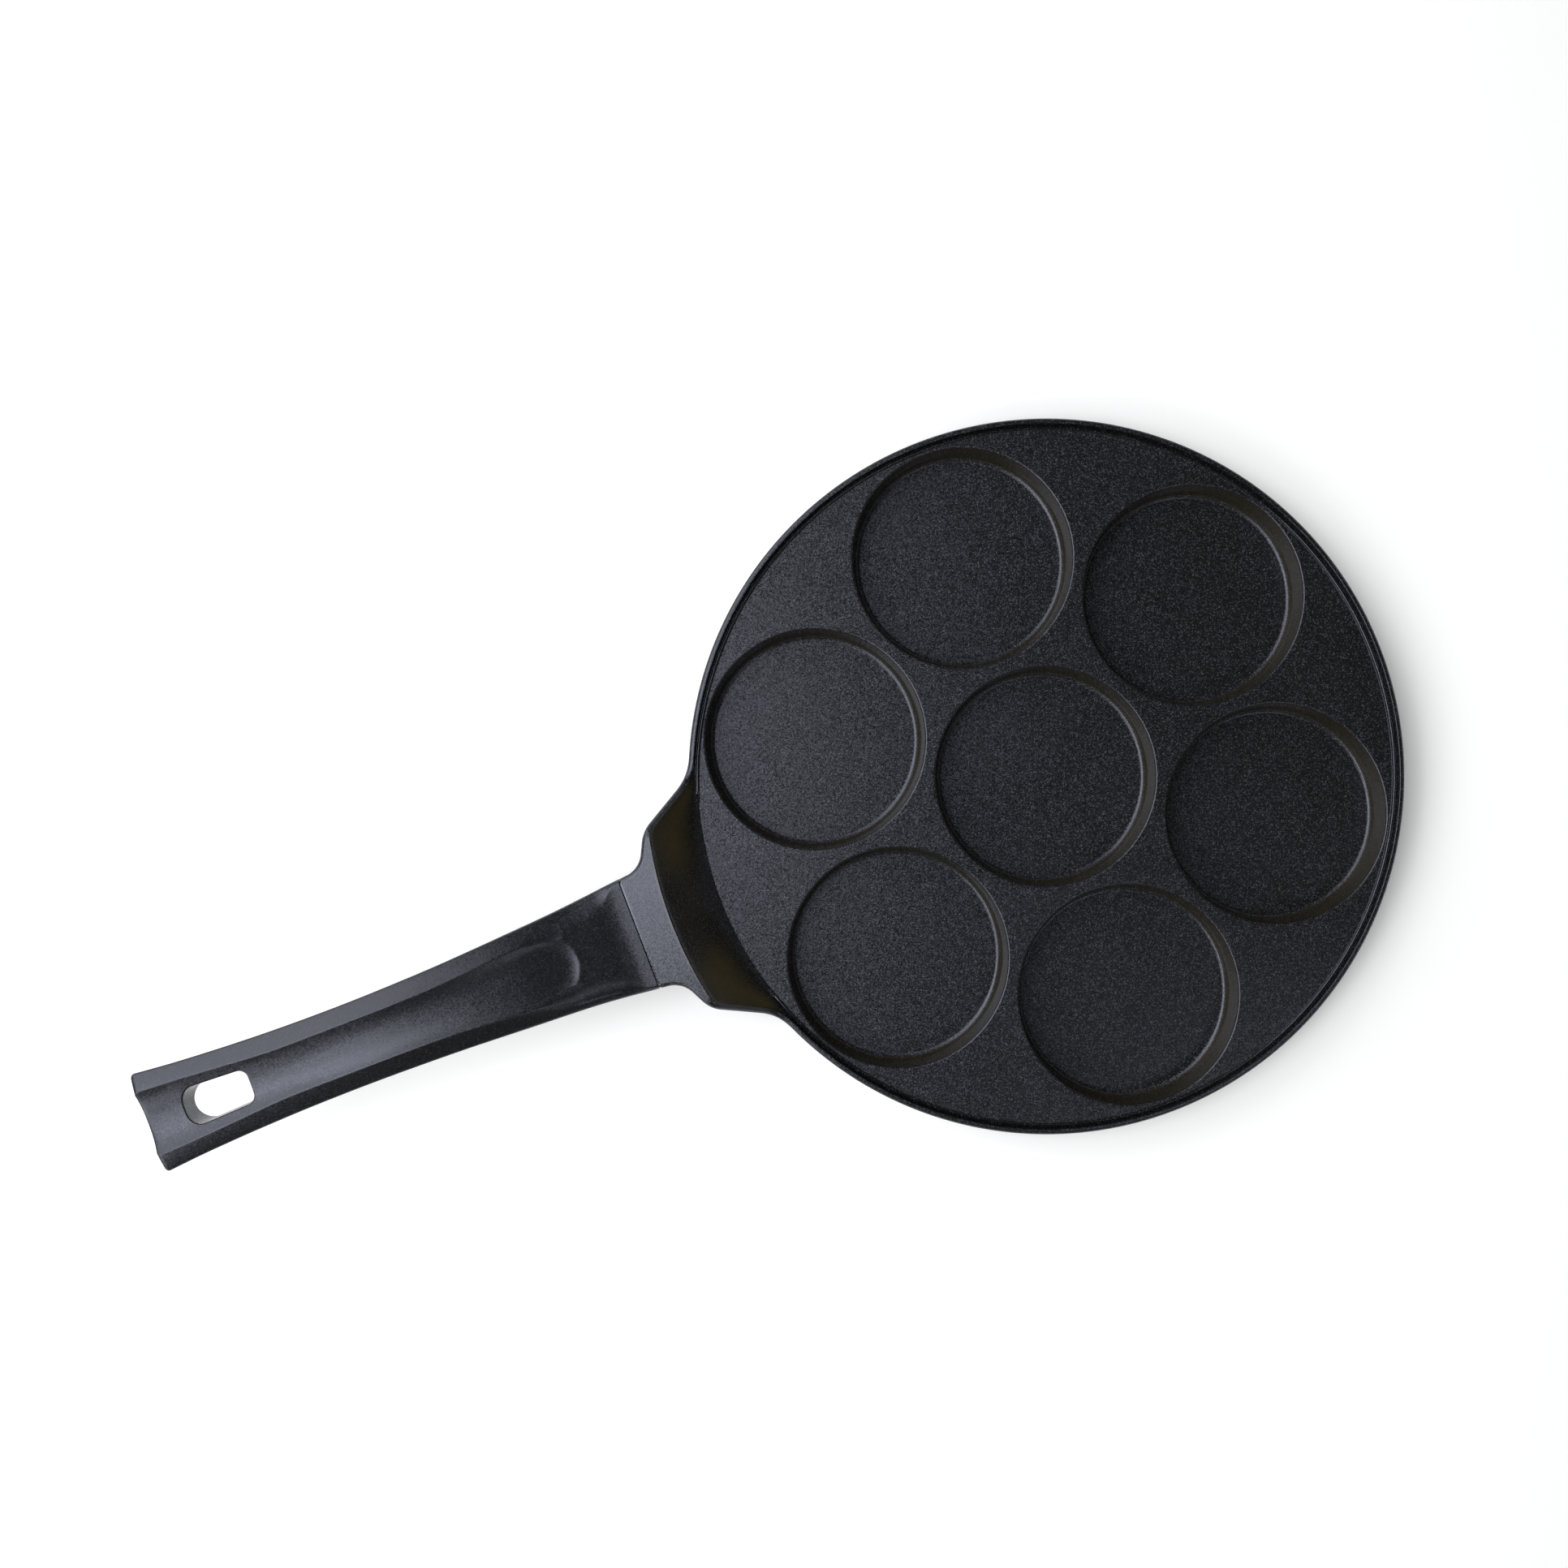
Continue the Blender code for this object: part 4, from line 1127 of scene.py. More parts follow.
    def columns(self) -> list[list[tuple[Point, float]]]:
        """Every section of the +Y half.

        Returns:
            The sections, from the handle's axis round to the far side.
        """
        half_seam = self.bracket.neck_half - self.rim_wall
        back = Vector((-1.0, 0.0))
        columns = [self.column(Vector((SEAM_X, half_seam * share)), back, True) for share in self.seam_shares]
        columns.append(self.column(self.side[0], Vector((0.0, -1.0))))
        for before, here, after in zip(self.side, self.side[1:], self.side[2:]):
            run = (after - before).normalized()
            columns.append(self.column(here, Vector((-run.y, run.x))))
        rest = math.pi - self.wing_end
        count = round(rest / self.disc_step)
        for step in range(count + 1):
            arm = heading(self.wing_end + rest * step / count)
            columns.append(self.column(arm * DISC_RADIUS, -arm))
        return columns

    def chamfered(self, point: Point) -> Point:
        """Narrow chamfer along the seam with the handle.

        Args:
            point: Point of the body.

        Returns:
            The point, drawn in where it is close to the seam.
        """
        x, y, z = point
        cut = max(x - (SEAM_X - self.seam_chamfer), 0.0)
        tall = 1.0 - self.seam_slope * cut / self.seam_half_height
        return x, y * (1.0 - cut / self.bracket.neck_half), self.seam_middle + (z - self.seam_middle) * tall

    def glazed(self, point: Point, painted_reflection: float) -> float:
        """Polish of the coating.

        Args:
            point: Point of the body.
            painted_reflection: Its share of painted reflection.

        Returns:
            1 on the cone, the rim's steps and the chamfer at the seam, and 0 elsewhere.
        """
        radius = math.hypot(point[0], point[1])
        crest = DISC_RADIUS - self.rim_wall
        on_steps = self.plate_edge + 0.1 * MM < radius < crest + 0.45 * MM
        on_rim = on_steps and PLATE_HEIGHT - 0.1 * MM < point[2] < self.rim_height - 0.005 * MM
        on_seam = point[0] > SEAM_X - 1.05 * self.seam_chamfer
        return 1.0 if painted_reflection > 0.0 or on_rim or on_seam else 0.0

    def add_tenon(self, skin: Skin) -> None:
        """Add the bar that the handle slides over.

        Args:
            skin: Skin of the body.
        """
        bar = self.tenon
        places = [(bar.start, 0.0), (bar.end - 0.6 * MM, 0.0)]
        places += [(bar.end - 0.2 * MM, 0.15 * MM), (bar.end, 0.6 * MM)]
        rings = [skin.row(bar.ring(x, shrink)) for x, shrink in places]
        skin.loft(rings)
        skin.fan(rings[0], (bar.start, 0.0, bar.middle))
        skin.fan(rings[-1], (bar.end, 0.0, bar.middle))

    def build(self, finish: Material) -> bpy.types.Object:
        """Build and dress the body.

        Args:
            finish: Its coating.

        Returns:
            The finished piece.
        """
        skin = Skin()
        half = self.columns()
        rows = []
        for column, sign in [(c, 1.0) for c in half] + [(c, -1.0) for c in half[-2:0:-1]]:
            row = []
            for point, painted_reflection in column:
                x, y, z = self.chamfered(point)
                row.append(skin.add((x, y * sign, z), painted_reflection, self.glazed((x, y, z), painted_reflection)))
            rows.append(row)
        skin.loft(rows + rows[:1], closed=False)
        skin.fan([row[-1] for row in rows], (0.0, 0.0, self.recess_depth))
        openings = self.wells.add_to(skin)
        mouth = self.wells.profile()[0][0][0]
        on_plate = outside_rings(self.wells.centres(), mouth, self.wells.sides)
        skin.fill([[row[0] for row in rows], *openings], keep=on_plate)
        self.add_tenon(skin)
        return skin.build("cast_pan", finish)


class Face(Enum):
    """A face of the handle that an opening is cut in."""

    TOP = 1
    BOTTOM = -1


@dataclass
class Handle:
    """Moulded handle: socket, thumb scoop, trough, hanging hole and a recess for the screw."""

    length: float = 178.7 * MM
    widest_height: float = 35.0 * MM
    end_round: float = 1.6 * MM
    edge_round: float = 0.6 * MM
    seam_chamfer: float = 0.12 * MM
    facet_bulge: float = 0.10 * MM
    scoop_start: float = 22.6 * MM
    scoop_radius: float = 13.0 * MM
    scoop_wall: float = 6.5 * MM
    scoop_soft: float = 0.15 * MM
    trough_settle: float = 30.0 * MM
    trough_hollow: float = 2.4
    hole_near: float = 297.3 * MM
    hole_far: float = 321.5 * MM
    hole_near_half: float = 5.9 * MM
    hole_far_half: float = 6.9 * MM
    hole_near_corner: float = 3.0 * MM
    hole_far_corner: float = 4.6 * MM
    hole_under_corner: float = 6.6 * MM
    hole_bulge: float = 0.9 * MM
    hole_lip: float = 0.5 * MM
    lip_support: float = 0.35 * MM
    screw_recess: float = 5.3 * MM
    screw_lip: float = 0.45 * MM
    screw_seat: float = 21.3 * MM
    shank_radius: float = 2.8 * MM
    socket: Bar = Bar(SEAM_X + GAP, 178.8 * MM, 12.8 * MM, 23.7 * MM, 32.7 * MM, 2.3 * MM)
    half_width: Curve = (
        (0.0, 20.6), (0.02, 20.3), (0.048, 19.75), (0.076, 19.2), (0.132, 18.2), (0.188, 17.45),
        (0.244, 16.82), (0.311, 16.05), (0.384, 15.32), (0.468, 14.8), (0.552, 14.5), (0.636, 14.49),
        (0.72, 14.76), (0.804, 15.35), (0.86, 15.9), (0.916, 16.56), (0.972, 17.45), (1.0, 17.95),
    )
    widest_rise: Curve = (
        (0.0, 0.0), (0.045, 0.1), (0.076, 0.8), (0.104, 1.7), (0.132, 3.2), (0.188, 6.3), (0.244, 9.0),
        (0.311, 11.4), (0.384, 13.5), (0.468, 15.2), (0.552, 16.3), (0.636, 16.9), (0.72, 17.15),
        (0.86, 17.3), (1.0, 17.4),
    )
    ridge_half: Curve = (
        (0.0, 19.6), (0.018, 19.2), (0.028, 18.2), (0.040, 16.7), (0.054, 15.2), (0.070, 14.2), (0.090, 13.5),
        (0.12, 12.9), (0.16, 12.2), (0.188, 11.6), (0.244, 10.9), (0.278, 10.5), (0.311, 9.95), (0.384, 8.95),
        (0.468, 8.5), (0.6, 8.4), (0.72, 8.4), (0.765, 8.8), (0.832, 9.7), (0.928, 10.9), (1.0, 11.5),
    )
    ridge_rise: Curve = (
        (0.0, 1.5), (0.018, 1.5), (0.030, 1.62), (0.044, 1.95), (0.076, 2.68), (0.104, 3.0), (0.132, 2.78),
        (0.188, 2.65), (0.244, 2.75), (0.311, 2.9), (0.384, 2.9), (0.468, 2.95), (0.552, 2.9), (0.636, 2.8),
        (0.72, 2.65), (0.804, 2.4), (0.916, 2.15), (1.0, 2.0),
    )
    ridge_round: Curve = (
        (0.0, 1.0), (0.02, 1.3), (0.036, 6.0), (0.055, 15.0), (0.13, 15.0), (0.18, 8.0), (0.22, 4.5),
        (0.27, 2.0), (0.33, 1.2), (1.0, 0.9),
    )
    brow_round: Curve = ((0.0, 1.0), (0.03, 1.2), (0.06, 3.2), (0.2, 2.6), (0.3, 1.2), (1.0, 1.1))
    trough_depth: Curve = (
        (0.0, 1.05), (0.16, 1.05), (0.22, 1.05), (0.27, 1.2), (0.31, 1.32), (0.384, 1.32), (0.468, 1.2),
        (0.552, 1.03), (0.636, 1.2), (0.72, 1.6), (0.9, 2.05), (1.0, 2.35),
    )
    belly_depth: Curve = (
        (0.0, 19.0), (0.08, 19.2), (0.17, 18.4), (0.27, 16.6), (0.39, 15.4),
        (0.61, 13.6), (0.83, 11.4), (1.0, 10.6),
    )
    belly_squareness: Curve = ((0.0, 5.0), (0.1, 4.4), (0.3, 2.7), (1.0, 2.6))
    ridge_room: float = 1.8 * MM
    plain_step: float = 1.5 * MM
    fine_step: float = 0.5 * MM
    hole_margin: float = 0.8 * MM
    screw_margin: float = 7.0 * MM
    belly_clear: float = 11.5 * MM
    top_points: int = 24
    facet_points: int = 8
    bend_steps: int = 6
    belly_points: int = 24

    def sizes(self, run: float) -> tuple[float, float, float, float, float, float]:
        """Sizes of the section at a distance from the seam.

        Args:
            run: Distance from the seam.

        Returns:
            Half width, widest height, ridge half width, ridge height, belly depth, squareness.
        """
        share = run / self.length
        widest = self.widest_height + spline(self.widest_rise, share) * MM
        return (
            spline(self.half_width, share) * MM,
            widest,
            spline(self.ridge_half, share) * MM,
            widest + spline(self.ridge_rise, share) * MM,
            spline(self.belly_depth, share) * MM,
            spline(self.belly_squareness, share),
        )

    def trough(self, run: float, side: float, ridge_half: float) -> float:
        """Depth of the scoop and trough at a place on top.

        Args:
            run: Distance from the seam.
            side: Distance from the handle's axis.
            ridge_half: Half of the width between the ridges there.

        Returns:
            The depth below the ridges.
        """
        centre = self.scoop_start + self.scoop_radius
        inside = ridge_half - abs(side)
        if run < centre:
            inside = (1.0 - math.hypot((centre - run) / self.scoop_radius, side / ridge_half)) * ridge_half
        inside = soft_max(inside, 0.0, 2.0 * self.scoop_soft)
        wall = mix(self.scoop_wall, ridge_half, ease(centre, centre + self.trough_settle, run))
        rise = 1.0 - min(inside / wall, 1.0)
        return spline(self.trough_depth, run / self.length) * MM * (1.0 - rise**self.trough_hollow)

    def top_height(self, run: float, side: float) -> float:
        """Height of the top between the ridges."""
        _, _, ridge_half, ridge, _, _ = self.sizes(run)
        return ridge - self.trough(run, side, ridge_half)

    def bottom_height(self, run: float, side: float) -> float:
        """Height of the belly's underside.

        Args:
            run: Distance from the seam.
            side: Distance from the handle's axis.

        Returns:
            The height.
        """
        half, widest, _, _, belly, square = self.sizes(run)
        share = min(abs(side) / half, 1.0)
        return widest - belly * (1.0 - share**square) ** (1.0 / square)

    def section(self, run: float) -> list[Plan]:
        """Half section from the top's middle to the belly's middle.

        Args:
            run: Distance from the seam.

        Returns:
            (side, height) points.
        """
        half, widest, ridge_half, ridge_top, belly, square = self.sizes(run)

        def on_top(side: float) -> Vector:
            """Point between the ridges."""
            return Vector((side, ridge_top - self.trough(run, side, ridge_half)))

        ridge, brow = on_top(ridge_half), Vector((half, widest))
        facet = brow - ridge
        outward = Vector((-facet.y, facet.x)).normalized()

        def on_facet(share: float) -> Vector:
            """Point on the bulged facet."""
            return ridge + facet * share + outward * (self.facet_bulge * 4.0 * share * (1.0 - share))

        radius = spline(self.ridge_round, run / self.length) * MM
        room = max(self.ridge_room, 0.43 * radius)
        share = min(room / facet.length, 0.6)
        wide = 1.0 + ease(3.0 * MM, 8.0 * MM, radius)
        before = ridge + (on_top(ridge_half - room) - ridge) * wide
        ridge_bend = arc_round(before, ridge, ridge + facet * share * wide, radius, self.bend_steps)
        below = Vector((half, widest - 2.0 * MM))
        brow_radius = spline(self.brow_round, run / self.length) * MM
        brow_bend = arc_round(on_facet(0.55), brow, below, brow_radius, self.bend_steps)
        points = [on_top(ridge_bend[0].x * index / self.top_points) for index in range(self.top_points)]
        points += ridge_bend
        steps = self.facet_points - 1
        points += [on_facet(mix(share, 0.74, index / steps)) for index in range(self.facet_points)]
        points += brow_bend
        section = [(point.x, point.y) for point in points]
        low = section[-1][1]
        for index, (cosine, sine) in enumerate(quarter(self.belly_points)[1:], start=1):
            spread = (cosine**square + sine**square) ** (-1.0 / square)
            height = min(widest - belly * spread * sine, low - 0.01 * MM * index)
            section.append((max(half * spread * cosine, 0.0), height))
        section[-1] = (0.0, section[-1][1])
        return section

    def stations(self) -> list[float]:
        """Places of the sections, closest at the scoop and the ends.

        Returns:
            Distances from the seam.
        """
        runs = [GAP, GAP + self.seam_chamfer, 1.4 * MM]
        place = 2.4 * MM
        while place < self.length - self.end_round - 1.0 * MM:
            runs.append(place)
            bend = 3.6 * MM < place < 12.0 * MM
            scoop = self.scoop_start - 3.0 * MM < place < self.scoop_start + 1.3 * self.scoop_radius
            place += self.fine_step if bend or scoop else self.plain_step
        return runs + [self.length - self.end_round * (1.0 - sine) for _, sine in quarter(10)]

    def hole_outline(self, far_corner: float) -> list[Vector]:
        """Plan loop of the hanging hole.

        Args:
            far_corner: Radius of its far corners.

        Returns:
            The loop, anticlockwise.
        """
        near, far = Vector((self.hole_near, self.hole_near_half)), Vector((self.hole_far, self.hole_far_half))
        across = Vector((1.0, -1.0))
        corners = [near * across, far * across, far, near]
        radii = (self.hole_near_corner, far_corner, far_corner, self.hole_near_corner)
        bends = []
        for index, radius in enumerate(radii):
            bends.append(arc_round(corners[index - 1], corners[index], corners[(index + 1) % 4], radius, 8))
        loop = []
        for bend, after in zip(bends, bends[1:] + bends[:1]):
            loop += bend + [bend[-1].lerp(after[0], share / 7.0) for share in range(1, 7)]
        for point in loop:
            along = (point.x - self.hole_near) / (self.hole_far - self.hole_near)
            point.x -= self.hole_bulge * (point.y / self.hole_far_half) ** 2 * along**4
        return loop

    def opening(
        self, skin: Skin, outline: list[Vector], face: Face, lip: float, frame: Sequence[int]
    ) -> list[int]:
        """Cut a rounded opening into the top or the bottom.

        Args:
            skin: Skin of the handle.
            outline: Plan loop of the opening, anticlockwise.
            face: Face it is cut in.
            lip: Radius of its rounded edge.
            frame: Points of the skin round the hole left for it.

        Returns:
            The ring where the opening's wall starts.
        """
        surface = self.top_height if face is Face.TOP else self.bottom_height
        levels = [(lip + self.lip_support, 0.0), (lip, 0.0)]
        levels += [(lip * (1.0 - sine), lip * (1.0 - cosine)) for cosine, sine in quarter(6)[1:]]
        rings = []
        for grow, depth in levels:
            ring = []
            for before, point, after in zip(outline[-1:] + outline[:-1], outline, outline[1:] + outline[:1]):
                run = after - before
                spread = point + Vector((run.y, -run.x)).normalized() * grow
                height = surface(spread.x - SEAM_X, spread.y) - depth * face.value
                ring.append((spread.x, spread.y, height))
            rings.append(skin.row(ring, 1.0 if grow < 0.4 * lip else 0.0))
        skin.loft(rings)
        edge = [Vector(skin.points[number][:2]) for number in rings[0]]
        skin.fill([frame, rings[0]], keep=outside_loop(edge))
        return rings[-1]

    def cut_hanging_hole(self, skin: Skin, top_frame: Sequence[int], bottom_frame: Sequence[int]) -> None:
        """Cut the hanging hole through the handle.

        Args:
            skin: Skin of the handle.
            top_frame: Points round the hole left for it in the top.
            bottom_frame: The same in the bottom.
        """
        top = self.opening(skin, self.hole_outline(self.hole_far_corner), Face.TOP, self.hole_lip, top_frame)
        under = self.hole_outline(self.hole_under_corner)
        bottom = self.opening(skin, under, Face.BOTTOM, self.hole_lip, bottom_frame)
        rings = [top]
        for share in (0.08, 0.35, 0.65, 0.92):
            ring = []
            for high, low in zip(top, bottom):
                ring.append(tuple(mix(a, b, share) for a, b in zip(skin.points[high], skin.points[low])))
            rings.append(skin.row(ring, 1.0))
        skin.loft([*rings, bottom])

    def cut_screw_recess(self, skin: Skin, frame: Sequence[int]) -> None:
        """Cut the recess for the screw's head into the belly.

        Args:
            skin: Skin of the handle.
            frame: Points of the skin round the hole left for it.
        """
        wide, narrow, seat = self.screw_recess, self.shank_radius, self.screw_seat
        blind = self.socket.bottom - 0.05 * MM
        axis = (SCREW_X, 0.0)
        outline = [Vector(place) for place in ring_places(wide, 48, axis)]
        mouth = self.opening(skin, outline, Face.BOTTOM, self.screw_lip, frame)
        profile = [(wide, seat - 0.5 * MM), (wide, seat - 0.1 * MM), (wide - 0.1 * MM, seat)]
        profile += [(narrow + 0.2 * MM, seat), (narrow, seat + 0.2 * MM), (narrow, blind)]
        rings = skin.turn(profile, 48, axis)
        skin.loft([mouth, rings[0]])
        skin.fan(rings[-1], (*axis, blind))

    def add_socket(self, skin: Skin, face: Sequence[int]) -> None:
        """Close the face at the seam round the socket, and line the socket.

        Args:
            skin: Skin of the handle.
            face: Points of the first section.
        """
        bar = self.socket
        mouth, blind = (skin.row(bar.ring(x)) for x in (bar.start, bar.end))
        skin.loft([mouth, blind])
        skin.fan(blind, (bar.end, 0.0, bar.middle))
        edge = [Vector((y, z)) for _, y, z in bar.ring(bar.start)]
        skin.fill([face, mouth], (1, 2), outside_loop(edge))

    def add_rows(self, skin: Skin) -> list[list[int]]:
        """Add every section, drawn in at the seam and curled over at the end.

        Args:
            skin: Skin of the handle.

        Returns:
            The numbers of each section's points, round from the top's middle.
        """
        rows = []
        for run in self.stations():
            half_width, widest, _, ridge, belly, _ = self.sizes(run)
            inset = max(GAP + self.seam_chamfer - run, 0.0)
            end = max(run - (self.length - self.end_round), 0.0) / self.end_round
            curl = 1.0 - math.sqrt(max(1.0 - end * end, 0.0))
            wide = 1.0 - (inset + self.end_round * curl) / half_width
            middle = (ridge + widest - belly) / 2.0
            tall = 1.0 - (inset + self.edge_round * curl) / ((ridge - widest + belly) / 2.0)
            half = self.section(run)
            ring = half + [(-y, z) for y, z in half[-2:0:-1]]
            rows.append(skin.row([(SEAM_X + run, y * wide, middle + (z - middle) * tall) for y, z in ring]))
        return rows

    def stretch(self, first: float, last: float) -> tuple[int, int]:
        """Sections that hold a stretch of the handle.

        Args:
            first: X where the stretch begins.
            last: X where it ends.

        Returns:
            Numbers of the sections just before and just after it.
        """
        places = [SEAM_X + run for run in self.stations()]
        before = max(index for index, x in enumerate(places) if x <= first)
        after = min(index for index, x in enumerate(places) if x >= last)
        return before, after

    def build(self, finish: Material) -> bpy.types.Object:
        """Build and dress the handle.

        Args:
            finish: Its resin.

        Returns:
            The finished piece.
        """
        skin = Skin()
        rows = self.add_rows(skin)
        count = len(rows[0])
        bottom = count // 2
        last = self.section(self.length)
        sides = [last[bottom - step][0] for step in range(self.belly_points)]
        hole_reach = max(step for step, side in enumerate(sides) if side < self.belly_clear)
        margin = self.hole_lip + self.hole_margin
        hole = self.stretch(self.hole_near - margin, self.hole_far + margin)
        blocks = [
            (*hole, 0, self.top_points - 1),
            (*hole, bottom, hole_reach),
            (*self.stretch(SCREW_X - self.screw_margin, SCREW_X + self.screw_margin), bottom, hole_reach),
        ]
        frames = []
        for low, high, middle, reach in blocks:
            across = [(middle + step) % count for step in range(-reach, reach + 1)]
            frame = [rows[low][c] for c in across]
            frame += [rows[r][across[-1]] for r in range(low + 1, high)]
            frame += [rows[high][c] for c in across[::-1]]
            frame += [rows[r][across[0]] for r in range(high - 1, low, -1)]
            frames.append(frame)
        for index, (low_row, high_row) in enumerate(zip(rows, rows[1:])):
            for column in range(count):
                after = (column + 1) % count
                taken = False
                for low, high, middle, reach in blocks:
                    offset = (column - middle + count // 2) % count - count // 2
                    taken = taken or (low <= index < high and -reach <= offset < reach)
                if not taken:
                    skin.faces.append((low_row[column], low_row[after], high_row[after], high_row[column]))
        self.cut_hanging_hole(skin, frames[0], frames[1])
        self.cut_screw_recess(skin, frames[2])
        self.add_socket(skin, rows[0])
        skin.fill([rows[-1]], (1, 2))
        return skin.build("moulded_handle", finish)


class StudTree:
    """Geometry Nodes that set a stud on every place of a few rings."""

    def __init__(self, name: str, rings: int) -> None:
        """Build the tree.

        Args:
            name: Name of the tree.
            rings: Number of rings of studs.
        """
        self.tree = bpy.data.node_groups.new(name, "GeometryNodeTree")
        self.keys: dict[str, str] = {}
        self.tree.interface.new_socket("Geometry", in_out="OUTPUT", socket_type="NodeSocketGeometry")
        kinds = {"Stud": "NodeSocketObject", "Finish": "NodeSocketMaterial", "Height": "NodeSocketFloat"}
        for ring in range(1, rings + 1):
            kinds |= {f"Ring {ring} radius": "NodeSocketFloat", f"Ring {ring} count": "NodeSocketInt"}
        for label, kind in kinds.items():
            socket = self.tree.interface.new_socket(label, in_out="INPUT", socket_type=kind)
            self.keys[label] = socket.identifier
        given = self.tree.nodes.new("NodeGroupInput").outputs
        joined = self.tree.nodes.new("GeometryNodeJoinGeometry")
        stud = self.add("GeometryNodeObjectInfo", {"Object": given["Stud"]}, "Geometry")
        lift = self.add("ShaderNodeCombineXYZ", {"Z": given["Height"]})
        for ring in range(1, rings + 1):
            count, radius = given[f"Ring {ring} count"], given[f"Ring {ring} radius"]
            circle = self.add("GeometryNodeMeshCircle", {"Vertices": count, "Radius": radius})
            half_step = self.add("ShaderNodeMath", {0: math.pi, 1: count}, operation="DIVIDE")
            turn = self.add("ShaderNodeCombineXYZ", {"Z": half_step})
            sockets = {"Geometry": circle, "Translation": lift, "Rotation": turn}
            placed = self.add("GeometryNodeTransform", sockets)
            studs = self.add("GeometryNodeInstanceOnPoints", {"Points": placed, "Instance": stud})
            self.tree.links.new(studs, joined.inputs[0])
        real = self.add("GeometryNodeRealizeInstances", {0: joined.outputs[0]})
        dressed = self.add("GeometryNodeSetMaterial", {"Geometry": real, "Material": given["Finish"]})
        self.tree.links.new(dressed, self.tree.nodes.new("NodeGroupOutput").inputs[0])

    def add(
        self, kind: str, sockets: dict[int | str, object], output: int | str = 0, **settings: object
    ) -> bpy.types.NodeSocket:
        """Add a node.

        Args:
            kind: Type of the node.
            sockets: Numbers or links of its inputs.
            output: Output that is wanted.
            settings: Its properties.

        Returns:
            The wanted output.
        """
        node = self.tree.nodes.new(kind)
        for label, value in settings.items():
            setattr(node, label, value)
        for key, value in sockets.items():
            if isinstance(value, float):
                node.inputs[key].default_value = value
            else:
                self.tree.links.new(value, node.inputs[key])
        return node.outputs[output]

    def grow(self, name: str, values: dict[str, object]) -> bpy.types.Object:
        """Evaluate the tree into a plain mesh object.

        Args:
            name: Name of the piece.
            values: Values of the tree's inputs, by label.

        Returns:
            The piece, without modifiers.
        """
        carrier = bpy.data.objects.new(name, bpy.data.meshes.new(name))
        bpy.context.scene.collection.objects.link(carrier)
        modifier = carrier.modifiers.new("studs", "NODES")
        modifier.node_group = self.tree
        for label, value in values.items():
            modifier[self.keys[label]] = value
        graph = bpy.context.evaluated_depsgraph_get()
        mesh = bpy.data.meshes.new_from_object(carrier.evaluated_get(graph), depsgraph=graph)
        carrier.modifiers.clear()
        carrier.data = mesh
        mesh.name = name
        return carrier


@dataclass
class Base:
    """Perforated steel plate pressed into the base, and the cast studs that hold it."""

    plate_radius: float = 95.0 * MM
    plate_thickness: float = 1.0 * MM
    edge_break: float = 0.12 * MM
    hole_radius: float = 2.6 * MM
    hole_sides: int = 28
    stud_radius: float = 2.3 * MM
    stud_bottom: float = 0.15 * MM
    stud_top: float = 1.35 * MM
    rings: tuple[tuple[float, int], ...] = ((24.0 * MM, 6), (52.0 * MM, 14), (80.0 * MM, 22))

    def walled(self, radius: float, flat: float, edge: float) -> list[Plan]:
        """Section of an upright wall of the plate with its edges broken.

        Args:
            radius: Radius of the wall.
            flat: Radius where the flat faces begin.
            edge: Radius where the broken edges end.

        Returns:
            (radius, height) points, from the top down.
        """
        top, cut = self.plate_thickness, self.edge_break
        return [(flat, top), (edge, top), (radius, top - cut), (radius, cut), (edge, 0.0), (flat, 0.0)]

    def build_plate(self, finish: Material) -> bpy.types.Object:
        """Build and dress the steel plate.

        Args:
            finish: Its steel.

        Returns:
            The finished piece.
        """
        skin = Skin()
        rim, hole, cut = self.plate_radius, self.hole_radius, self.edge_break
        mouth = hole + 0.4 * MM
        outer = skin.turn(self.walled(rim, rim - 0.6 * MM, rim - cut), 192)
        centres = [place for ring in self.rings for place in ring_places(*ring, shift=0.5)]
        bores = [skin.turn(self.walled(hole, mouth, hole + cut), self.hole_sides, place) for place in centres]
        on_plate = outside_rings(centres, mouth, self.hole_sides)
        for level in (0, -1):
            skin.fill([outer[level], *(bore[level] for bore in bores)], keep=on_plate)
        return skin.build("steel_plate", finish)

    def build_studs(self, finish: Material) -> bpy.types.Object:
        """Build and dress the studs with Geometry Nodes.

        Args:
            finish: Their metal.

        Returns:
            The finished piece.
        """
        radius, height = self.stud_radius, self.stud_top - self.stud_bottom
        profile = [(radius, height), (radius, 0.12 * MM), (radius - 0.1 * MM, 0.02 * MM)]
        profile += [(radius - 0.3 * MM, 0.0), (radius * 0.5, 0.0)]
        skin = Skin()
        rings = skin.turn(profile, 20)
        skin.fan(rings[0], (0.0, 0.0, height))
        skin.fan(rings[-1], (0.0, 0.0, 0.0))
        stud = skin.build("stud_form")
        values: dict[str, object] = {"Stud": stud, "Finish": finish, "Height": self.stud_bottom}
        for index, (ring_radius, count) in enumerate(self.rings, start=1):
            values |= {f"Ring {index} radius": ring_radius, f"Ring {index} count": count}
        piece = StudTree("stud_rings", len(self.rings)).grow("base_studs", values)
        bpy.data.objects.remove(stud, do_unlink=True)
        return piece


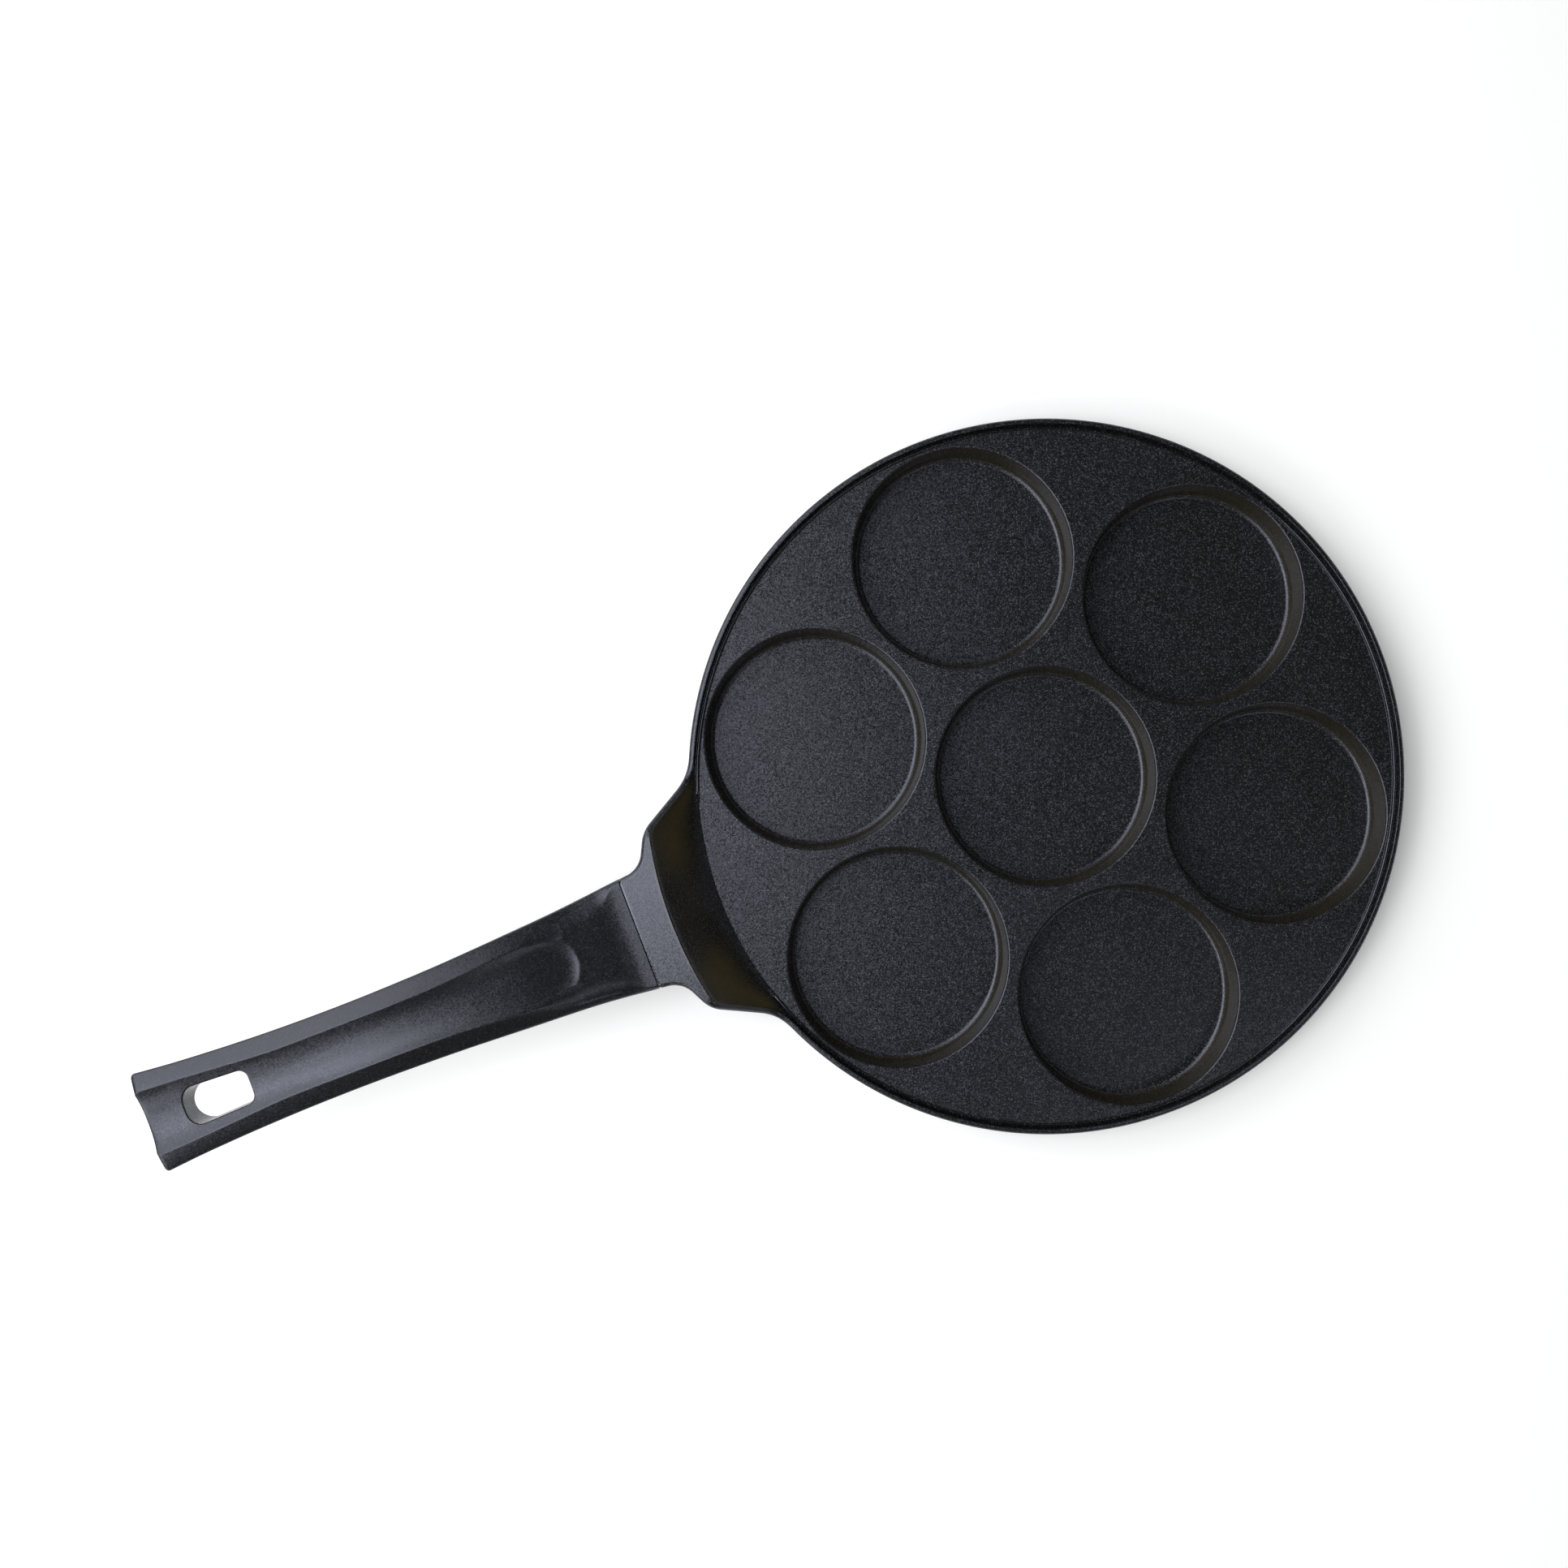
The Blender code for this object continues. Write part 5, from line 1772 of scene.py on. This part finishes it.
@dataclass
class Screw:
    """Pan-head screw with a cross recess, driven up into the tenon from below."""

    head_bottom: float = 16.3 * MM
    head_top: float = 18.5 * MM
    head_radius: float = 4.6 * MM
    crown_width: float = 1.5 * MM
    crown_height: float = 1.3 * MM
    shank_radius: float = 2.5 * MM
    tip: float = 30.9 * MM
    slot_half: float = 0.55 * MM
    slot_reach: float = 2.5 * MM
    slot_depth: float = 1.2 * MM
    sides: int = 64

    def slot(self) -> list[Vector]:
        """Plan loop of the cross recess.

        Returns:
            The loop, anticlockwise about the screw's axis.
        """
        half, reach = self.slot_half, self.slot_reach
        loop = []
        for angle in (0.0, 90.0, 180.0, 270.0):
            turn = Matrix.Rotation(math.radians(angle), 2)
            for place in ((reach, -half), (reach, half), (half * 1.5, half), (half, half * 1.5)):
                loop.append(turn @ Vector(place))
        return loop

    def build(self, finish: Material) -> bpy.types.Object:
        """Build and dress the screw.

        Args:
            finish: Its steel.

        Returns:
            The finished piece.
        """
        skin = Skin()
        head, shank, bottom, top = self.head_radius, self.shank_radius, self.head_bottom, self.head_top
        profile = [(shank - 0.5 * MM, self.tip), (shank, self.tip - 0.5 * MM), (shank, top + 0.3 * MM)]
        profile += [(shank + 0.3 * MM, top), (head - 0.1 * MM, top), (head, top - 0.1 * MM)]
        for cosine, sine in quarter(8):
            crown = (head - self.crown_width * (1.0 - cosine), bottom + self.crown_height * (1.0 - sine))
            profile.append(crown)
        profile.append((head - 1.7 * MM, bottom))
        rings = skin.turn(profile, self.sides, (SCREW_X, 0.0))
        skin.fan(rings[0], (SCREW_X, 0.0, self.tip))
        slot = []
        for share, depth in ((1.0, 0.0), (0.93, 0.12 * MM), (0.6, self.slot_depth)):
            slot.append(skin.row([(SCREW_X + p.x * share, p.y * share, bottom + depth) for p in self.slot()]))
        skin.loft(slot)
        skin.fan(slot[-1], (SCREW_X, 0.0, bottom + self.slot_depth))
        reach, half = self.slot_reach, self.slot_half

        def on_head(x: float, y: float) -> bool:
            """Whether a place lies outside the cross."""
            across, along = sorted((abs(x - SCREW_X), abs(y)))
            return along > reach or (across > half and along + across > 2.4 * half)

        skin.fill([rings[-1], slot[0]], keep=on_head)
        return skin.build("cross_screw", finish, 40.0)


@dataclass(frozen=True)
class Lamp:
    """Square soft lamp that faces the pan; its direction is in degrees."""

    name: str
    azimuth: float
    elevation: float
    size: float
    power: float
    colour: Colour = (1.0, 1.0, 1.0)

    def stand(self, target: Vector, distance: float) -> None:
        """Set the lamp up.

        Args:
            target: Place that it faces.
            distance: How far from there it stands.
        """
        turn, lift = math.radians(self.azimuth), math.radians(self.elevation)
        arm = Vector((math.cos(lift) * math.cos(turn), math.cos(lift) * math.sin(turn), math.sin(lift)))
        lamp = bpy.data.lights.new(self.name, "AREA")
        lamp.shape, lamp.size, lamp.energy, lamp.color = "SQUARE", self.size, self.power, self.colour
        holder = bpy.data.objects.new(self.name, lamp)
        holder.location = target + arm * distance
        holder.rotation_euler = (-arm).to_track_quat("-Z", "Y").to_euler()
        bpy.context.scene.collection.objects.link(holder)


@dataclass
class Studio:
    """White floor with a raised rim, soft lamps, and a camera straight above."""

    camera_place: Point = (0.0900, -0.0313, 0.618)
    camera_turn: float = math.radians(159.17)
    view_angle: float = math.radians(50.8)
    sensor: float = 36.0
    nearest: float = 0.01
    floor_centre: Plan = (0.08, 0.0)
    floor_radii: tuple[float, ...] = (0.25, 0.6, 1.1, 1.7)
    floor_rise: float = 0.9
    floor_colour: Colour = (0.93, 0.93, 0.93)
    floor_gain: float = 0.985
    floor_rough: float = 0.85
    floor_glow: float = 0.15
    world_colour: Colour = (0.80, 0.82, 0.86)
    world_strength: float = 0.04
    lamp_target: Point = (0.09, 0.0, 0.0)
    lamp_distance: float = 1.6
    lamps: tuple[Lamp, ...] = (
        Lamp("key_lamp", -21.0, 70.0, 0.8, 10.5, (0.98, 0.99, 1.0)),
        Lamp("low_key_lamp", -21.0, 50.0, 0.8, 6.0, (0.98, 0.99, 1.0)),
        Lamp("left_lamp", 20.0, 40.0, 0.8, 10.0),
        Lamp("right_lamp", -60.0, 35.0, 1.0, 11.0),
        Lamp("top_lamp", -75.0, 60.0, 0.8, 2.5),
        Lamp("fill_lamp", 119.0, 55.0, 0.4, 1.3, (1.0, 0.99, 0.97)),
    )

    def floor(self) -> bpy.types.Object:
        """Build the floor, which curves up into a low wall far from the pan.

        Returns:
            The finished floor.
        """
        tree = ShaderTree("white_sweep")
        where = tree.place()
        finish = tree.dress(
            Base_Color=tree.shaded(tree.noise(where, 0.35, 3.0) * 0.5, self.floor_colour, self.floor_gain),
            Roughness=self.floor_rough,
            Emission_Color=tree.blend(tree.seen(), (0.0, 0.0, 0.0), (1.0, 1.0, 1.0)),
            Emission_Strength=self.floor_glow,
            Normal=tree.relief(tree.noise(where, 0.9 * MM, 2.0), 0.02 * MM),
        )
        skin = Skin()
        profile = [(radius, 0.0) for radius in self.floor_radii]
        for cosine, sine in quarter(12)[1:]:
            profile.append((self.floor_radii[-1] + self.floor_rise * sine, self.floor_rise * (1.0 - cosine)))
        rings = skin.turn(profile, 96, self.floor_centre)
        skin.fan(rings[0], (*self.floor_centre, 0.0))
        return skin.build("studio_floor", finish)

    def light(self) -> None:
        """Place the lamps and set the world."""
        for lamp in self.lamps:
            lamp.stand(Vector(self.lamp_target), self.lamp_distance)
        world = bpy.data.worlds.new("studio_world")
        world.use_nodes = True
        background = world.node_tree.nodes["Background"]
        background.inputs["Color"].default_value = (*self.world_colour, 1.0)
        background.inputs["Strength"].default_value = self.world_strength
        bpy.context.scene.world = world

    def camera(self) -> None:
        """Place the camera straight above."""
        lens = bpy.data.cameras.new("overhead_camera")
        lens.sensor_width = self.sensor
        lens.lens = self.sensor / 2.0 / math.tan(self.view_angle / 2.0)
        lens.clip_start = self.nearest
        holder = bpy.data.objects.new("overhead_camera", lens)
        holder.location = self.camera_place
        holder.rotation_euler = (0.0, 0.0, self.camera_turn)
        bpy.context.scene.collection.objects.link(holder)
        bpy.context.scene.camera = holder


def main() -> None:
    """Build the pan round its frame, and the studio round the pan."""
    logging.basicConfig(level=logging.INFO, format="%(name)s: %(message)s")
    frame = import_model()
    LOG.info("frame has %d nodes", len(frame["nodes"]))
    coating = CoatingFinish().material()
    resin = ResinFinish().material()
    steel = TurnedSteelFinish().material()
    plated = PlatedSteelFinish().material()

    base = Base()
    pieces = [
        (PanBody().build(coating), "pan_body", "nonstick_coating"),
        (Handle().build(resin), "handle_grip", "handle_resin"),
        (base.build_plate(steel), "induction_plate", "base_steel"),
        (base.build_studs(BareCastFinish().material()), None, "nonstick_coating"),
        (Screw().build(plated), "handle_screw", "screw_steel"),
    ]
    for piece, node, slot in pieces:
        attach(piece, "root")
        if node:
            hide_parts(node)
        LOG.info("%s: %d faces", piece.name, len(piece.data.polygons))
    for node in ("spring_washer", "flat_washer"):
        washer = bpy.data.objects[node]
        washer.data.materials.clear()
        washer.data.materials.append(plated)

    studio = Studio()
    studio.floor()
    studio.light()
    studio.camera()
    bpy.context.scene.view_settings.view_transform = "Standard"


if __name__ == "__main__":
    main()
